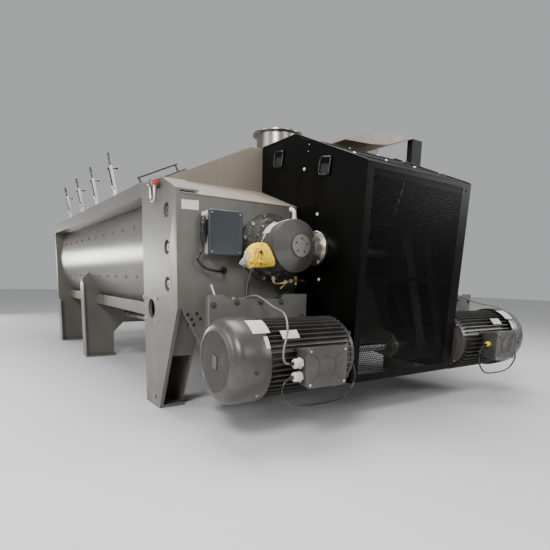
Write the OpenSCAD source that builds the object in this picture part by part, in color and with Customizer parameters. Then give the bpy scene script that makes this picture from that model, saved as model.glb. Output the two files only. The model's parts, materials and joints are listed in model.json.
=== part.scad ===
/* [Body] */
// Length from the front face of the drive wall to the back face of the far wall
body_length = 4200; // [3600:50:5400]
// Width over the outer faces of the columns
body_width = 2750; // [2740:5:2800]
// Distance between the two rotor shafts
shaft_spacing = 1460; // [1450:5:1470]
// Height of the rotor shafts above the floor
shaft_height = 1100; // [1080:5:1140]
// Outer radius of each drum of the trough
drum_radius = 600; // [590:2:606]
// Sheet thickness of the trough
trough_t = 10; // [6:1:14]
// Angle from the drum's lowest line at which the inner wall leaves the round
saddle_angle = 50; // [44:1:56]
// Height of the rim's top above the shafts
rim_rise = 430; // [420:5:450]
// Height of the folded rim
rim_height = 100; // [70:5:120]
// How far the trough's upright top wall stands inside the outer faces
rim_depth = 145; // [130:5:155]
// Thickness of the two end walls
wall_t = 30; // [20:2:40]
// Depth of the dry seal compartment between drive wall and trough
head_gap = 450; // [430:10:500]

/* [Hood] */
// Height of the hood's flat top above the rim
hood_rise = 330; // [310:5:350]
// Half width of the hood's flat top
hood_flat = 600; // [580:5:620]
// Sheet thickness of the hood
hood_t = 6; // [4:1:8]
// How far the hood's foot stands inside the outer faces
eave_inset = 90; // [85:5:100]
// Bore radius of the inlet neck
inlet_bore = 184; // [150:2:190]
// Height of the inlet neck above the hood
inlet_height = 310; // [250:10:350]
// Distance from the trough's front to the inlet's axis
inlet_back = 530; // [480:10:700]
// Width of the inlet flange beyond the bore
inlet_lip = 41; // [36:1:46]

/* [Hatch] */
// Length of the hatch lid
lid_length = 2300; // [2000:50:2500]
// Distance from the trough's front to the lid
lid_back = 850; // [820:10:950]
// Width of the lid down the slope
lid_width = 480; // [440:5:490]
// Depth of the lid's rim
lid_depth = 34; // [30:1:38]
// Distance between swing clamps
clamp_pitch = 640; // [560:10:660]
// Length of a swing clamp from pivot to spindle
clamp_reach = 150; // [145:1:158]

/* [Columns] */
// Thickness of the columns' side plates
column_t = 25; // [16:1:30]
// Depth of a column from the drive wall to its back edge
column_depth = 610; // [590:5:640]
// Height of the columns
column_height = 1500; // [1490:2:1515]
// Height at which the column's front edge starts to lean back
column_knee = 710; // [680:5:740]
// Width of the legs under the far wall and the middle saddle
leg_width = 315; // [280:5:330]
// Radius of the anchor hole in each foot
anchor_r = 14; // [9:1:18]

/* [Rotors] */
// Radius of the rotor shaft between the walls
rotor_shaft_r = 85; // [75:1:95]
// Radius of the shaft's journals
journal_r = 60; // [50:1:65]
// Distance between paddle stations
paddle_pitch = 300; // [280:5:340]
// Gap between the paddle tips and the trough
tip_gap = 15; // [12:1:25]
// Pitch of the blades against the shaft
blade_angle = 45; // [35:1:50]
// Length of a blade along its chord
blade_w = 230; // [180:5:240]
// Thickness of a blade
blade_t = 12; // [8:1:16]

/* [Drive] */
// Distance from the drive wall to the cross shaft
cross_x = 235; // [232:1:240]
// Radius of the cross shaft
cross_r = 30; // [24:1:36]
// Height of the motor shafts above the floor
motor_z = 460; // [450:2:480]
// Distance from the drive wall to the motor shafts
motor_x = 478; // [470:2:484]
// Radius of a motor's cooling fins
fin_r = 222; // [216:1:226]
// Length of a motor from shaft-end shield to cowl
motor_length = 830; // [800:5:832]
// Distance from the middle plane to the motors' shaft-end shields
motor_inset = 540; // [536:1:543]
// Radius of a motor shaft
motor_shaft_r = 27.5; // [22:0.5:32]
// Pitch radius of the motor pulleys
small_pulley_r = 110; // [100:1:112]
// Pitch radius of the driven pulleys
big_pulley_r = 198; // [180:1:206]
// Width of a V-belt
belt_w = 22; // [17:1:24]
// Height of a V-belt
belt_h = 14; // [10:1:16]
// Distance from the middle plane to the first belt set
belt_y = 120; // [100:5:140]
// Distance between the two belt sets
belt_set_pitch = 210; // [160:5:230]
// Radius of the front disc of a gear unit
gear_r = 160; // [150:1:165]

/* [Guard] */
// Half width of the belt guard
guard_half = 500; // [490:1:504]
// Distance from the drive wall to the guard's front top edge
guard_front = 656; // [652:1:670]
// Distance from the drive wall to the guard's front lower edge
guard_foot = 605; // [603:1:625]
// Height of the guard's lower edge
guard_low = 270; // [255:5:300]
// Height of the guard's front top edge
guard_brow = 1570; // [1550:5:1590]
// Sheet thickness of the guard
guard_t = 3; // [2:0.5:4]
// Pitch of the holes in the perforated panels
mesh_pitch = 80; // [72:2:100]

/* [Discharge] */
// Length of each discharge door
door_length = 1400; // [1200:50:1500]
// Half of the angle that a door spans
door_half_angle = 18; // [14:0.5:19]
// Radius of the door's hinge shaft
door_shaft_r = 22; // [18:1:26]

/* [Clearances] */
// Radial clearance of a running fit
run_gap = 0.05; // [0.02:0.01:0.1]
// Gap between pieces that pass each other
pass_gap = 0.4; // [0.3:0.1:1]
// Gap between a door and its opening
door_gap = 5; // [3:0.5:7]

/* [Hidden] */
$fn = 64;

half_width = body_width / 2;
shaft_y = shaft_spacing / 2;
rim_top = shaft_height + rim_rise;
hood_top = rim_top + hood_rise;
top_y = half_width - rim_depth;
eave_y = half_width - eave_inset;
inner_face = half_width - column_t;
trough_x0 = -head_gap;
far_x = -body_length;
far_inner_x = far_x + wall_t;

// Paint
grey_paint = "#74716a";
trough_grey = "#8b857c";
hood_beige = "#a79a86";
guard_black = "#24241f";
steel = "#b9bbbe";
dark_rubber = "#26272a";
pulley_grey = "#4a4c4d";

// Hood section
hood_foot = rim_top + 8;
slope_run = eave_y - hood_flat;
slope_drop = hood_top - hood_foot;
slope_angle = atan(slope_drop / slope_run);
slope_len = sqrt(slope_run * slope_run + slope_drop * slope_drop);

// Ledge over the seal compartment
wall_top = shaft_height + 280;
ledge_t = 8;
ledge_rise = hood_foot - wall_top;
ledge_angle = atan(ledge_rise / head_gap);
ledge_len = sqrt(ledge_rise * ledge_rise + head_gap * head_gap);

// Extent along the length, for the origin
bearing_depth = 100;
cover_t = 12;
emboss = 2;
box_depth = 106;
x_front = motor_x + fin_r + box_depth + cover_t + emboss;
x_back = far_x - bearing_depth;
x_mid = (x_front + x_back) / 2;

module at_origin() translate([-x_mid, 0, 0]) children();
module on_side(s) mirror([0, s > 0 ? 0 : 1, 0]) children();
module along_x(x, len) translate([x, 0, 0]) rotate([90, 0, 90]) linear_extrude(len) children();
module along_y(y, len) translate([0, y + len, 0]) rotate([90, 0, 0]) linear_extrude(len) children();
module rod_x(x, y, z, r, len, sides = 64) translate([x, y, z]) rotate([0, 90, 0])
    cylinder(r = r, h = len, $fn = sides);
module rod_y(x, y, z, r, len, sides = 64) translate([x, y + len, z]) rotate([90, 0, 0])
    cylinder(r = r, h = len, $fn = sides);
module rod_z(x, y, z, r, len, sides = 64) translate([x, y, z]) cylinder(r = r, h = len, $fn = sides);
module box(x0, x1, y0, y1, z0, z1) translate([x0, y0, z0]) cube([x1 - x0, y1 - y0, z1 - z0]);

// Turns a profile of [x, radius] points about an axis along X, or [y, radius] about Y
module turned_x(y, z, points) translate([0, y, z]) rotate([0, 90, 0]) rotate_extrude()
    polygon([for (p = points) [p[1], p[0]]]);
module turned_y(x, z, points) translate([x, 0, z]) rotate([-90, 0, 0]) rotate_extrude()
    polygon([for (p = points) [p[1], p[0]]]);

// Section across the two drums, filled, for a wall radius r and a top half width w.
// The saddle's lines cut the rounds just inside their tangent, which keeps the joins crisp.
saddle_in = 1.5;
module drum_section(r, w, top) {
    touch_r = r - saddle_in;
    touch_y = shaft_y - touch_r * sin(saddle_angle);
    touch_z = shaft_height - touch_r * cos(saddle_angle);
    peak = touch_z + touch_y * tan(saddle_angle);
    for (s = [-1, 1]) intersection() {
        translate([s * shaft_y, shaft_height]) circle(r = r, $fn = 96);
        translate([-2 * w, 0]) square([4 * w, top]);
    }
    polygon([[-w, top], [w, top], [w, shaft_height], [shaft_y, shaft_height], [touch_y, touch_z], [0, peak],
             [-touch_y, touch_z], [-shaft_y, shaft_height], [-w, shaft_height]]);
}

module sector(angle0, angle1, r) polygon([
    [0, 0], [r * sin(angle0), -r * cos(angle0)], [r * sin(angle1), -r * cos(angle1)]]);

door_x1 = trough_x0 - 450;
door_x0 = door_x1 - door_length;
hinge_angle = door_half_angle + 6;
hinge_radius = drum_radius + 62;
hinge_boss_r = 40;
hinge_y = shaft_y + hinge_radius * sin(hinge_angle);
hinge_z = shaft_height - hinge_radius * cos(hinge_angle);

spigot_r = journal_r + 15;
head_t = 12;
seal_r = 100;
module trough() color(trough_grey) at_origin() {
    len = trough_x0 - far_inner_x;
    difference() {
        union() {
            along_x(far_inner_x, len) drum_section(drum_radius, top_y, rim_top);
            // folded rims
            for (s = [-1, 1]) on_side(s)
                box(far_inner_x, -column_depth, top_y - 1, half_width, rim_top - rim_height, rim_top);
        }
        along_x(far_inner_x - 1, len + 1 - head_t)
            drum_section(drum_radius - trough_t, top_y - trough_t, rim_top + 50);
        for (s = [-1, 1]) on_side(s) {
            box(far_inner_x - 1, -column_depth - 8, top_y, half_width - 8,
                rim_top - rim_height + 8, rim_top - 8);
            rod_x(trough_x0 - head_t - 1, shaft_y, shaft_height, seal_r, head_t + 2);
            translate([0, shaft_y, shaft_height]) along_x(door_x0 - door_gap, door_length + 2 * door_gap)
                sector(-door_half_angle - 0.5, door_half_angle + 0.5, drum_radius + 100);
        }
    }
}

module drive_end_wall() color(grey_paint) at_origin() difference() {
    knee_y = 1200;
    along_x(-wall_t, wall_t) polygon([
        [-inner_face, wall_top], [-inner_face, column_knee], [-knee_y, 440], [knee_y, 440],
        [inner_face, column_knee], [inner_face, wall_top]]);
    for (s = [-1, 1]) on_side(s) rod_x(-wall_t - 1, shaft_y, shaft_height, spigot_r, wall_t + 2);
}

sole_t = 20;
module mirrored_section(x0, len) along_x(x0, len) drum_section(drum_radius, top_y, rim_top + 20);

module arch_plate(x0, t, top) {
    along_x(x0, t) polygon([
        [-half_width, 0], [-half_width, top - 80], [-half_width + 80, top], [half_width - 80, top],
        [half_width, top - 80], [half_width, 0], [half_width - leg_width, 0], [half_width - leg_width, 260],
        [half_width - leg_width - 110, 370], [-half_width + leg_width + 110, 370],
        [-half_width + leg_width, 260], [-half_width + leg_width, 0]]);
}

foot_len = 140;
module feet(x) for (s = [-1, 1]) on_side(s) difference() {
    union() {
        box(x - foot_len / 2, x + foot_len / 2, half_width - leg_width, half_width, 0, sole_t);
        box(x - foot_len / 2, x + foot_len / 2, half_width - 12, half_width, 0, 820);
    }
    rod_z(x + foot_len / 2 - 28, half_width - leg_width / 2, -1, anchor_r, sole_t + 2);
}

module far_end_wall() color(trough_grey) at_origin() {
    difference() {
        union() {
            along_x(far_x, wall_t) polygon([
                [-half_width, 0], [-half_width, rim_top], [half_width, rim_top], [half_width, 0],
                [half_width - leg_width, 0], [half_width - leg_width, 260],
                [half_width - leg_width - 110, 370], [-half_width + leg_width + 110, 370],
                [-half_width + leg_width, 260], [-half_width + leg_width, 0]]);
            for (s = [-1, 1]) on_side(s) {
                box(far_x, far_x + foot_len, half_width - leg_width, half_width, 0, sole_t);
                box(far_x, far_x + foot_len, half_width - 12, half_width, 0, 560);
            }
        }
        for (s = [-1, 1]) on_side(s) {
            rod_x(far_x - 1, shaft_y, shaft_height, spigot_r, wall_t + 2);
            rod_z(far_x + foot_len - 28, half_width - leg_width / 2, -1, anchor_r, sole_t + 2);
        }
    }
}

saddle_x = -2670;
beam_y0 = 1150;
beam_z0 = 590;
module under_frame() color(trough_grey) at_origin() {
    beam_w = 80;
    beam_h = 100;
    plate_t = 30;
    difference() {
        union() {
            arch_plate(saddle_x - plate_t / 2, plate_t, 930);
            feet(saddle_x);
        }
        along_x(saddle_x - foot_len, 2 * foot_len) drum_section(drum_radius, top_y, rim_top);
    }
    spans = [[far_inner_x, saddle_x - plate_t / 2], [saddle_x + plate_t / 2, -column_depth]];
    for (s = [-1, 1]) on_side(s)
        for (span = spans) difference() {
            box(span[0], span[1], beam_y0, beam_y0 + beam_w, beam_z0, beam_z0 + beam_h);
            box(span[0] - 1, span[1] + 1, beam_y0 + 6, beam_y0 + beam_w - 6,
                beam_z0 + 6, beam_z0 + beam_h - 6);
            along_x(span[0] - 1, span[1] - span[0] + 2) translate([shaft_y, shaft_height])
                circle(r = drum_radius, $fn = 96);
        }
}

column_back_foot = 600;
column_front_foot = 340;
column_flat_end = 210;
shackle_x = -290;
pin_z = column_height - 30;
pin_r = 12;
lug_t = 20;
lug_out = 34;
port_x = -155;
port_z = [1298, 1077, 852];
flange_x = -458;
flange_z = 680;
module column(s) color(grey_paint) at_origin() on_side(s) {
    lean = column_front_foot / column_knee;
    chamfer_drop = 90;
    web_t = 12;
    apron_y = 1205;
    apron_len = 360;
    difference() {
        union() {
            // outer plate
            along_y(inner_face, column_t) polygon([
                [-column_depth, column_height], [-column_flat_end, column_height],
                [0, column_height - chamfer_drop], [0, column_knee],
                [-column_front_foot, 0], [-column_back_foot, 0]]);
            // inner plate
            along_y(1190, 15) polygon([
                [trough_x0 + 10, wall_top - 20], [-wall_t, wall_top - 40], [-wall_t, column_knee],
                [-column_front_foot - wall_t, 25], [-column_back_foot, 25],
                [-column_back_foot, 440], [trough_x0 + 10, 520]]);
            // top plate and its sloping end
            along_y(top_y, inner_face - top_y) polygon([
                [-column_depth, column_height], [-column_flat_end, column_height],
                [-3, column_height - chamfer_drop], [-3, column_height - chamfer_drop - web_t],
                [-column_flat_end, column_height - web_t],
                [-column_depth, column_height - web_t]]);
            // back web and strip behind the round ports
            box(-column_depth, -column_depth + web_t, beam_y0, inner_face, 0, column_height - web_t);
            box(port_x - 65, port_x + 65, inner_face - 20, inner_face, port_z[2] - 75, port_z[0] + 75);
            // sole plate
            box(-column_back_foot, -column_front_foot, 1190, inner_face, 0, sole_t);
            // leaning apron under the drive wall
            difference() {
                translate([-wall_t, apron_y, column_knee]) rotate([0, atan(lean), 0])
                    translate([-web_t, 0, -apron_len]) cube([web_t, inner_face - apron_y, apron_len]);
                for (k = [[1268, 605], [1290, 643], [1227, 643], [1313, 681], [1250, 681]])
                    rod_x(-300, k[0], k[1], 11, 400, 24);
            }
            // lifting lug
            along_x(shackle_x - lug_t / 2, lug_t) {
                translate([half_width + lug_out, pin_z]) circle(r = 28);
                translate([half_width - 1, pin_z - 28]) square([lug_out + 1, 56]);
            }
        }
        rod_x(shackle_x - 50, half_width + lug_out, pin_z, pin_r + run_gap, 100);
        for (z = port_z) rod_y(port_x, inner_face, z, 46, column_t + 1);
        rod_y(flange_x, inner_face - 1, flange_z, 66, column_t + 2);
        rod_y(-406, inner_face - 1, 65, 18, column_t + 2);
        rod_z((-column_back_foot - column_front_foot) / 2, half_width - leg_width / 2 + 30, -1,
            anchor_r, sole_t + 2);
        mirrored_section(-column_depth - 1, column_depth - head_gap + 1);
    }
}

// Frame on the roof slope: y runs from the flat top down to the eave, z stands off the sheet
module on_slope() translate([0, hood_flat, hood_top]) rotate([-slope_angle, 0, 0]) children();

lid_y0 = 140;
lid_lift = 8;
coaming_in = 25;
coaming_h = 32;
gasket_h = 4.6;
hinge_off = 120;
hinge_up = 30;
hinge_pin_r = 8;
lid_x1 = trough_x0 - lid_back;
lid_x0 = lid_x1 - lid_length;
lid_hinges = [for (k = [0:3]) lid_x0 + lid_length * (k + 0.5) / 4];

module hood() color(hood_beige) at_origin() {
    back = far_inner_x - 15;
    len = trough_x0 - back;
    end_t = 8;
    inlet_x = trough_x0 - inlet_back;
    flange_w = 55;
    difference() {
        union() {
            along_x(back, len) polygon([
                [-eave_y, hood_foot], [-hood_flat, hood_top], [hood_flat, hood_top], [eave_y, hood_foot],
                [eave_y, rim_top], [-eave_y, rim_top]]);
            // foot flanges on the rims
            for (s = [-1, 1]) on_side(s)
                box(back, -column_depth, eave_y - 1, eave_y + flange_w, rim_top, rim_top + 8);
            // coaming round the hatch
            on_side(-1) on_slope() translate([lid_x0 + coaming_in, lid_y0 + coaming_in, -hood_t])
                cube([lid_length - 2 * coaming_in, lid_width - 2 * coaming_in, coaming_h + hood_t]);
        }
        along_x(back + end_t, len - 2 * end_t) polygon([
            [-eave_y + 2 * hood_t, rim_top - 1], [-eave_y + 2 * hood_t, hood_foot],
            [-hood_flat, hood_top - hood_t], [hood_flat, hood_top - hood_t],
            [eave_y - 2 * hood_t, hood_foot], [eave_y - 2 * hood_t, rim_top - 1]]);
        on_side(-1) on_slope() translate([lid_x0 + coaming_in + 6, lid_y0 + coaming_in + 6, -60])
            cube([lid_length - 2 * coaming_in - 12, lid_width - 2 * coaming_in - 12, 60 + coaming_h + 1]);
        rod_z(inlet_x, 0, hood_top - 20, inlet_bore + 4, 40);
    }
    // ledge over the seal compartment
    step = ledge_len - column_flat_end;
    translate([0, 0, wall_top]) rotate([0, ledge_angle, 0]) translate([-ledge_len, 0, 0])
        linear_extrude(ledge_t) polygon([
            [-4, top_y], [step, top_y], [step + 20, inner_face], [ledge_len, inner_face],
            [ledge_len, -inner_face], [step + 20, -inner_face], [step, -top_y], [-4, -top_y]]);
}

inlet_holes = 8;
module inlet_neck() color(steel) at_origin() {
    inlet_x = trough_x0 - inlet_back;
    wall = 6;
    flange_t = 12;
    difference() {
        translate([inlet_x, 0, hood_top]) rotate_extrude() polygon([
            [inlet_bore, 0], [inlet_bore + 30, 0], [inlet_bore + 30, 8], [inlet_bore + wall, 8],
            [inlet_bore + wall, inlet_height - flange_t], [inlet_bore + inlet_lip, inlet_height - flange_t],
            [inlet_bore + inlet_lip, inlet_height], [inlet_bore, inlet_height]]);
        for (k = [0:inlet_holes - 1]) rotate_about(inlet_x, 0, (k + 0.5) * 360 / inlet_holes)
            rod_z(inlet_x + inlet_bore + inlet_lip - 15, 0, hood_top + inlet_height - flange_t - 1,
                7, flange_t + 2, 32);
    }
}
module rotate_about(x, y, a) translate([x, y, 0]) rotate([0, 0, a]) translate([-x, -y, 0]) children();

function slope_z(y) = y < hood_flat ? hood_top : hood_top - (y - hood_flat) * slope_drop / slope_run;
module vent_box() color(hood_beige) at_origin() {
    y0 = 330;
    y1 = 860;
    ridge_y = 560;
    x0 = trough_x0 - 560;
    len = 440;
    sheet = 5;
    difference() {
        along_x(x0, len) polygon([
            [y0, hood_top], [y0, hood_top + 190], [ridge_y, hood_top + 285], [y1, hood_top + 255],
            [y1, slope_z(y1)], [hood_flat, hood_top]]);
        along_x(x0 + sheet, len - 2 * sheet) polygon([
            [y0 + sheet, hood_top - 1], [y0 + sheet, hood_top + 186], [ridge_y, hood_top + 279],
            [y1 - sheet, hood_top + 249], [y1 - sheet, slope_z(y1) - 1], [hood_flat, hood_top - 1]]);
    }
    // duct that reaches over the seal compartment, closed by its front sheet
    duct_front = -200;
    difference() {
        along_x(x0 + len - sheet, duct_front - x0 - len + sheet) polygon([
            [100, hood_top + 120], [100, hood_top + 136], [425, hood_top + 227], [620, hood_top + 268],
            [917, hood_top + 279], [571, hood_top + 161], [395, hood_top + 137]]);
        along_x(x0 + len, duct_front - x0 - len - sheet) polygon([
            [160, hood_top + 133], [160, hood_top + 143], [425, hood_top + 219], [620, hood_top + 260],
            [860, hood_top + 269], [571, hood_top + 170], [395, hood_top + 146]]);
    }
    // post from the ledge
    post_x = duct_front - 70;
    post_y = 905;
    difference() {
        box(post_x, post_x + 60, post_y, post_y + 125, ledge_z(post_x), hood_top + 272);
        box(post_x + 4, post_x + 56, post_y + 4, post_y + 121, ledge_z(post_x) - 1, hood_top + 268);
    }
}

module hatch_lid() color(pulley_grey) at_origin() on_side(-1) on_slope() {
    skin = 5;
    top = lid_lift + lid_depth;
    difference() {
        translate([lid_x0, lid_y0, lid_lift]) cube([lid_length, lid_width, lid_depth]);
        translate([lid_x0 + skin, lid_y0 + skin, lid_lift - 1])
            cube([lid_length - 2 * skin, lid_width - 2 * skin, lid_depth - skin + 1]);
    }
    // ribs under the skin, inside the coaming
    rib_in = coaming_in + 14;
    for (k = [1:3]) translate([lid_x0 + k * lid_length / 4 - 4, lid_y0 + rib_in, top - skin - 18])
        cube([8, lid_width - 2 * rib_in, 19]);
    // hinge knuckles
    for (x = lid_hinges) difference() {
        union() {
            rod_x(x - 40, hinge_off, hinge_up, 16, 80);
            translate([x - 40, hinge_off, hinge_up - 4]) cube([80, lid_y0 - hinge_off, 16]);
        }
        rod_x(x - 41, hinge_off, hinge_up, hinge_pin_r + run_gap, 82);
    }
    // grab bar
    for (y = [lid_y0 + 60, lid_y0 + lid_width - 60]) translate([lid_x1 - 60, y, top]) cylinder(r = 9, h = 60);
    rod_y(lid_x1 - 60, lid_y0 + 40, top + 60, 9, lid_width - 80);
}

clamp_y = half_width - 65;
clamp_z = rim_top + 110;
clamp_lean = 10;
clamp_xs = [for (k = [0:3]) lid_x1 - 215 - k * clamp_pitch];
clamp_ear_gap = 30;
module hood_fittings() color(steel) at_origin() on_side(-1) {
    // hinge ears with their pins
    for (x = lid_hinges) on_slope() {
        for (d = [-46, 40 + pass_gap]) difference() {
            union() {
                rod_x(x + d, hinge_off, hinge_up, 14, 6 - pass_gap);
                translate([x + d, hinge_off - 14, 0]) cube([6 - pass_gap, 28, hinge_up]);
            }
        }
        rod_x(x - 46, hinge_off, hinge_up, hinge_pin_r, 92);
    }
    // clamp posts with their pins
    for (x = clamp_xs) {
        box(x - 40, x + 40, clamp_y - 18, clamp_y + 26, rim_top + 8, rim_top + 16);
        box(x - 12, x + 12, clamp_y - 16, clamp_y + 16, rim_top + 16, clamp_z);
        rod_x(x - 12, clamp_y, clamp_z, 20, 24);
        rod_x(x - 27, clamp_y, clamp_z, 9, 54);
    }
}

// Gasket on the coaming
module hatch_gasket() color(dark_rubber) at_origin() on_side(-1) on_slope() difference() {
    translate([lid_x0 + coaming_in, lid_y0 + coaming_in, coaming_h])
        cube([lid_length - 2 * coaming_in, lid_width - 2 * coaming_in, gasket_h]);
    translate([lid_x0 + coaming_in + 6, lid_y0 + coaming_in + 6, coaming_h - 1])
        cube([lid_length - 2 * coaming_in - 12, lid_width - 2 * coaming_in - 12, gasket_h + 2]);
}

// Spindle length that puts the foot on the lid when the clamp is thrown
clamp_dy = clamp_y - hood_flat;
clamp_dz = clamp_z - hood_top;
clamp_over = clamp_dy * sin(slope_angle) + clamp_dz * cos(slope_angle);
spindle_len = clamp_over - lid_lift - lid_depth - 0.5;
module swing_clamp(k) color(steel) at_origin() on_side(-1) translate([clamp_xs[k], clamp_y, clamp_z])
    rotate([-clamp_lean, 0, 0]) {
    bar_t = 8;
    handle_len = 225;
    inner = 12 + pass_gap;
    // two side bars on the post's pin
    for (d = [-inner - bar_t, inner]) difference() {
        union() {
            rod_x(d, 0, 0, 18, bar_t);
            translate([d, -12, 0]) cube([bar_t, 24, clamp_reach + 20]);
        }
        rod_x(d - 1, 0, 0, 9 + run_gap, bar_t + 2);
    }
    // crosshead, spindle with its foot, and handle
    translate([-inner, -12, clamp_reach - 15]) cube([2 * inner, 24, 30]);
    translate([0, -12, clamp_reach]) rotate([90, 0, 0]) cylinder(r = 7, h = spindle_len - 12 - 14);
    translate([0, -spindle_len + 14, clamp_reach]) rotate([90, 0, 0]) cylinder(r = 13, h = 14);
    translate([0, 12, clamp_reach]) rotate([-90, 0, 0]) cylinder(r = 12, h = 14);
    translate([0, 0, clamp_reach + 15]) cylinder(r = 8, h = handle_len - clamp_reach);
    translate([0, 0, handle_len]) cylinder(r = 12, h = 45);
}

module swing_clamp_1() swing_clamp(0);
module swing_clamp_2() swing_clamp(1);
module swing_clamp_3() swing_clamp(2);
module swing_clamp_4() swing_clamp(3);
module left_column() column(-1);
module right_column() column(1);

// Lifting shackle: hangs beside the column and swings outwards round its pin
shackle_bow = 36;
shackle_len = 72;
module shackle(s) color(steel) at_origin() on_side(s)
    translate([shackle_x, half_width + lug_out, pin_z]) rotate([0, 90, 0]) {
        cheek = lug_t / 2 + pass_gap;
        translate([0, 0, -cheek - 34]) cylinder(r = pin_r, h = 2 * cheek + 68);
        translate([0, 0, cheek + 34]) cylinder(r = 18, h = 10);
        for (d = [-1, 1]) {
            translate([0, 0, d > 0 ? cheek : -cheek - 28]) cylinder(r = 22, h = 28);
            rod_x(0, 0, d * shackle_bow, 10, shackle_len, 32);
        }
        translate([shackle_len, 0, 0]) rotate([90, 0, 0]) rotate([0, 0, -90]) rotate_extrude(angle = 180)
            translate([shackle_bow, 0]) circle(r = 10, $fn = 32);
    }
module left_shackle() shackle(-1);
module right_shackle() shackle(1);

// Gear units
gear_flange_r = 222;
gear_ring_r = 188;
gear_ring_x = 118;
gear_face = cross_x + 77;
gear_front = gear_face + 46;
bell_y = 503;
cross_end = shaft_y - 60;
rotor_x1 = cross_x - cross_r - 35;
module gear_unit(s) color(grey_paint) at_origin() on_side(s) difference() {
    union() {
        turned_x(shaft_y, shaft_height, [
            [-wall_t, 0], [-wall_t, spigot_r], [0, spigot_r], [0, gear_flange_r], [28, gear_flange_r],
            [28, gear_ring_r], [gear_ring_x, gear_ring_r], [gear_ring_x, gear_r], [gear_ring_x + 22, gear_r],
            [gear_ring_x + 22, gear_r - 5], [gear_face - 12, gear_r - 5], [gear_face - 12, gear_r],
            [gear_face, gear_r], [gear_front, 78], [gear_front, 0]]);
        turned_y(cross_x, shaft_height, [
            [bell_y, 0], [bell_y, 110], [bell_y + 20, 110], [bell_y + 20, 92], [shaft_y - gear_r + 30, 84],
            [shaft_y, 84], [shaft_y, 0]]);
    }
    rod_x(-wall_t - 1, shaft_y, shaft_height, journal_r + run_gap, wall_t + 1 + rotor_x1 + 1);
    rod_y(cross_x, bell_y - 1, shaft_height, cross_r + run_gap, cross_end - bell_y + 2);
}
module left_gear_unit() gear_unit(-1);
module right_gear_unit() gear_unit(1);

module gear_fittings() color(steel) at_origin() for (s = [-1, 1]) on_side(s) {
    drain_x = 74;
    difference() {
        union() {
            // breather, drain boss and drain plug
            rod_z(gear_face - 26, shaft_y, shaft_height + gear_r - 25, 11, 60);
            rod_z(drain_x, shaft_y, shaft_height - gear_ring_r - 18, 20, 24);
            rod_z(drain_x, shaft_y, shaft_height - gear_ring_r - 34, 13, 18);
            // sight glass
            rod_y(gear_ring_x + 60, shaft_y + gear_r - 17, shaft_height - 40, 16, 24);
        }
        rod_x(0, shaft_y, shaft_height, gear_ring_r, gear_ring_x);
        rod_x(gear_ring_x, shaft_y, shaft_height, gear_r - 5, 200);
    }
    rod_x(gear_front, shaft_y, shaft_height, 66, 9);
}

// Rotors
rotor_back = far_x - 70;
stations = floor((trough_x0 - far_inner_x - 260) / paddle_pitch) + 1;
station_x0 = (trough_x0 + far_inner_x) / 2 + (stations - 1) * paddle_pitch / 2;
tip_r = drum_radius - trough_t - tip_gap;
module rotor_shaft(s) color(steel) at_origin() on_side(s) turned_x(shaft_y, shaft_height, [
    [rotor_back, 0], [rotor_back, journal_r], [far_inner_x + 25, journal_r],
    [far_inner_x + 25, rotor_shaft_r], [trough_x0 - 40, rotor_shaft_r], [trough_x0 - 40, journal_r],
    [rotor_x1, journal_r], [rotor_x1, 0]]);
module left_rotor_shaft() rotor_shaft(-1);
module right_rotor_shaft() rotor_shaft(1);

module paddles(s) color("#8f8a80") at_origin() on_side(s) {
    arm_r = 22;
    hub_r = rotor_shaft_r + 22;
    blade_h = 190;
    blade_top = sqrt(tip_r * tip_r - pow(blade_w / 2 * cos(blade_angle) + blade_t / 2, 2)) - 1;
    for (k = [0:stations - 1])
        translate([station_x0 - k * paddle_pitch, shaft_y, shaft_height]) difference() {
        union() {
            rotate([0, 90, 0]) translate([0, 0, -45]) cylinder(r = hub_r, h = 90);
            for (side = [0, 180]) rotate([k * 90 + side + 20, 0, 0]) {
                cylinder(r = arm_r, h = blade_top - 40);
                rotate([0, 0, side > 0 ? blade_angle : -blade_angle])
                    translate([-blade_t / 2, -blade_w / 2, blade_top - blade_h])
                        cube([blade_t, blade_w, blade_h]);
            }
        }
        rotate([0, 90, 0]) translate([0, 0, -60]) cylinder(r = rotor_shaft_r, h = 120);
    }
}
module left_paddles() paddles(-1);
module right_paddles() paddles(1);

module rotor_bearings() color(grey_paint) at_origin() for (s = [-1, 1]) on_side(s) difference() {
    turned_x(shaft_y, shaft_height, [
        [far_x - bearing_depth, 0], [far_x - bearing_depth, 78], [far_x - bearing_depth + 12, 90],
        [far_x - 30, 98], [far_x - 30, 145], [far_x, 145], [far_x, 0]]);
    rod_x(rotor_back - 1, shaft_y, shaft_height, journal_r + run_gap, 300);
}

module shaft_seals() color(steel) at_origin() for (s = [-1, 1]) on_side(s) difference() {
    union() {
        turned_x(shaft_y, shaft_height, [
            [trough_x0 - head_t, 0], [trough_x0 - head_t, seal_r], [trough_x0, seal_r], [trough_x0, 140],
            [trough_x0 + 16, 140], [trough_x0 + 16, 96], [trough_x0 + 70, 96], [trough_x0 + 70, 115],
            [trough_x0 + 84, 115], [trough_x0 + 84, 0]]);
        turned_x(shaft_y, shaft_height, [
            [far_x, 0], [far_x, spigot_r], [far_inner_x, spigot_r], [far_inner_x, 110],
            [far_inner_x + 12, 110], [far_inner_x + 12, 0]]);
    }
    rod_x(far_x - 1, shaft_y, shaft_height, journal_r + run_gap, body_length);
}

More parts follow.
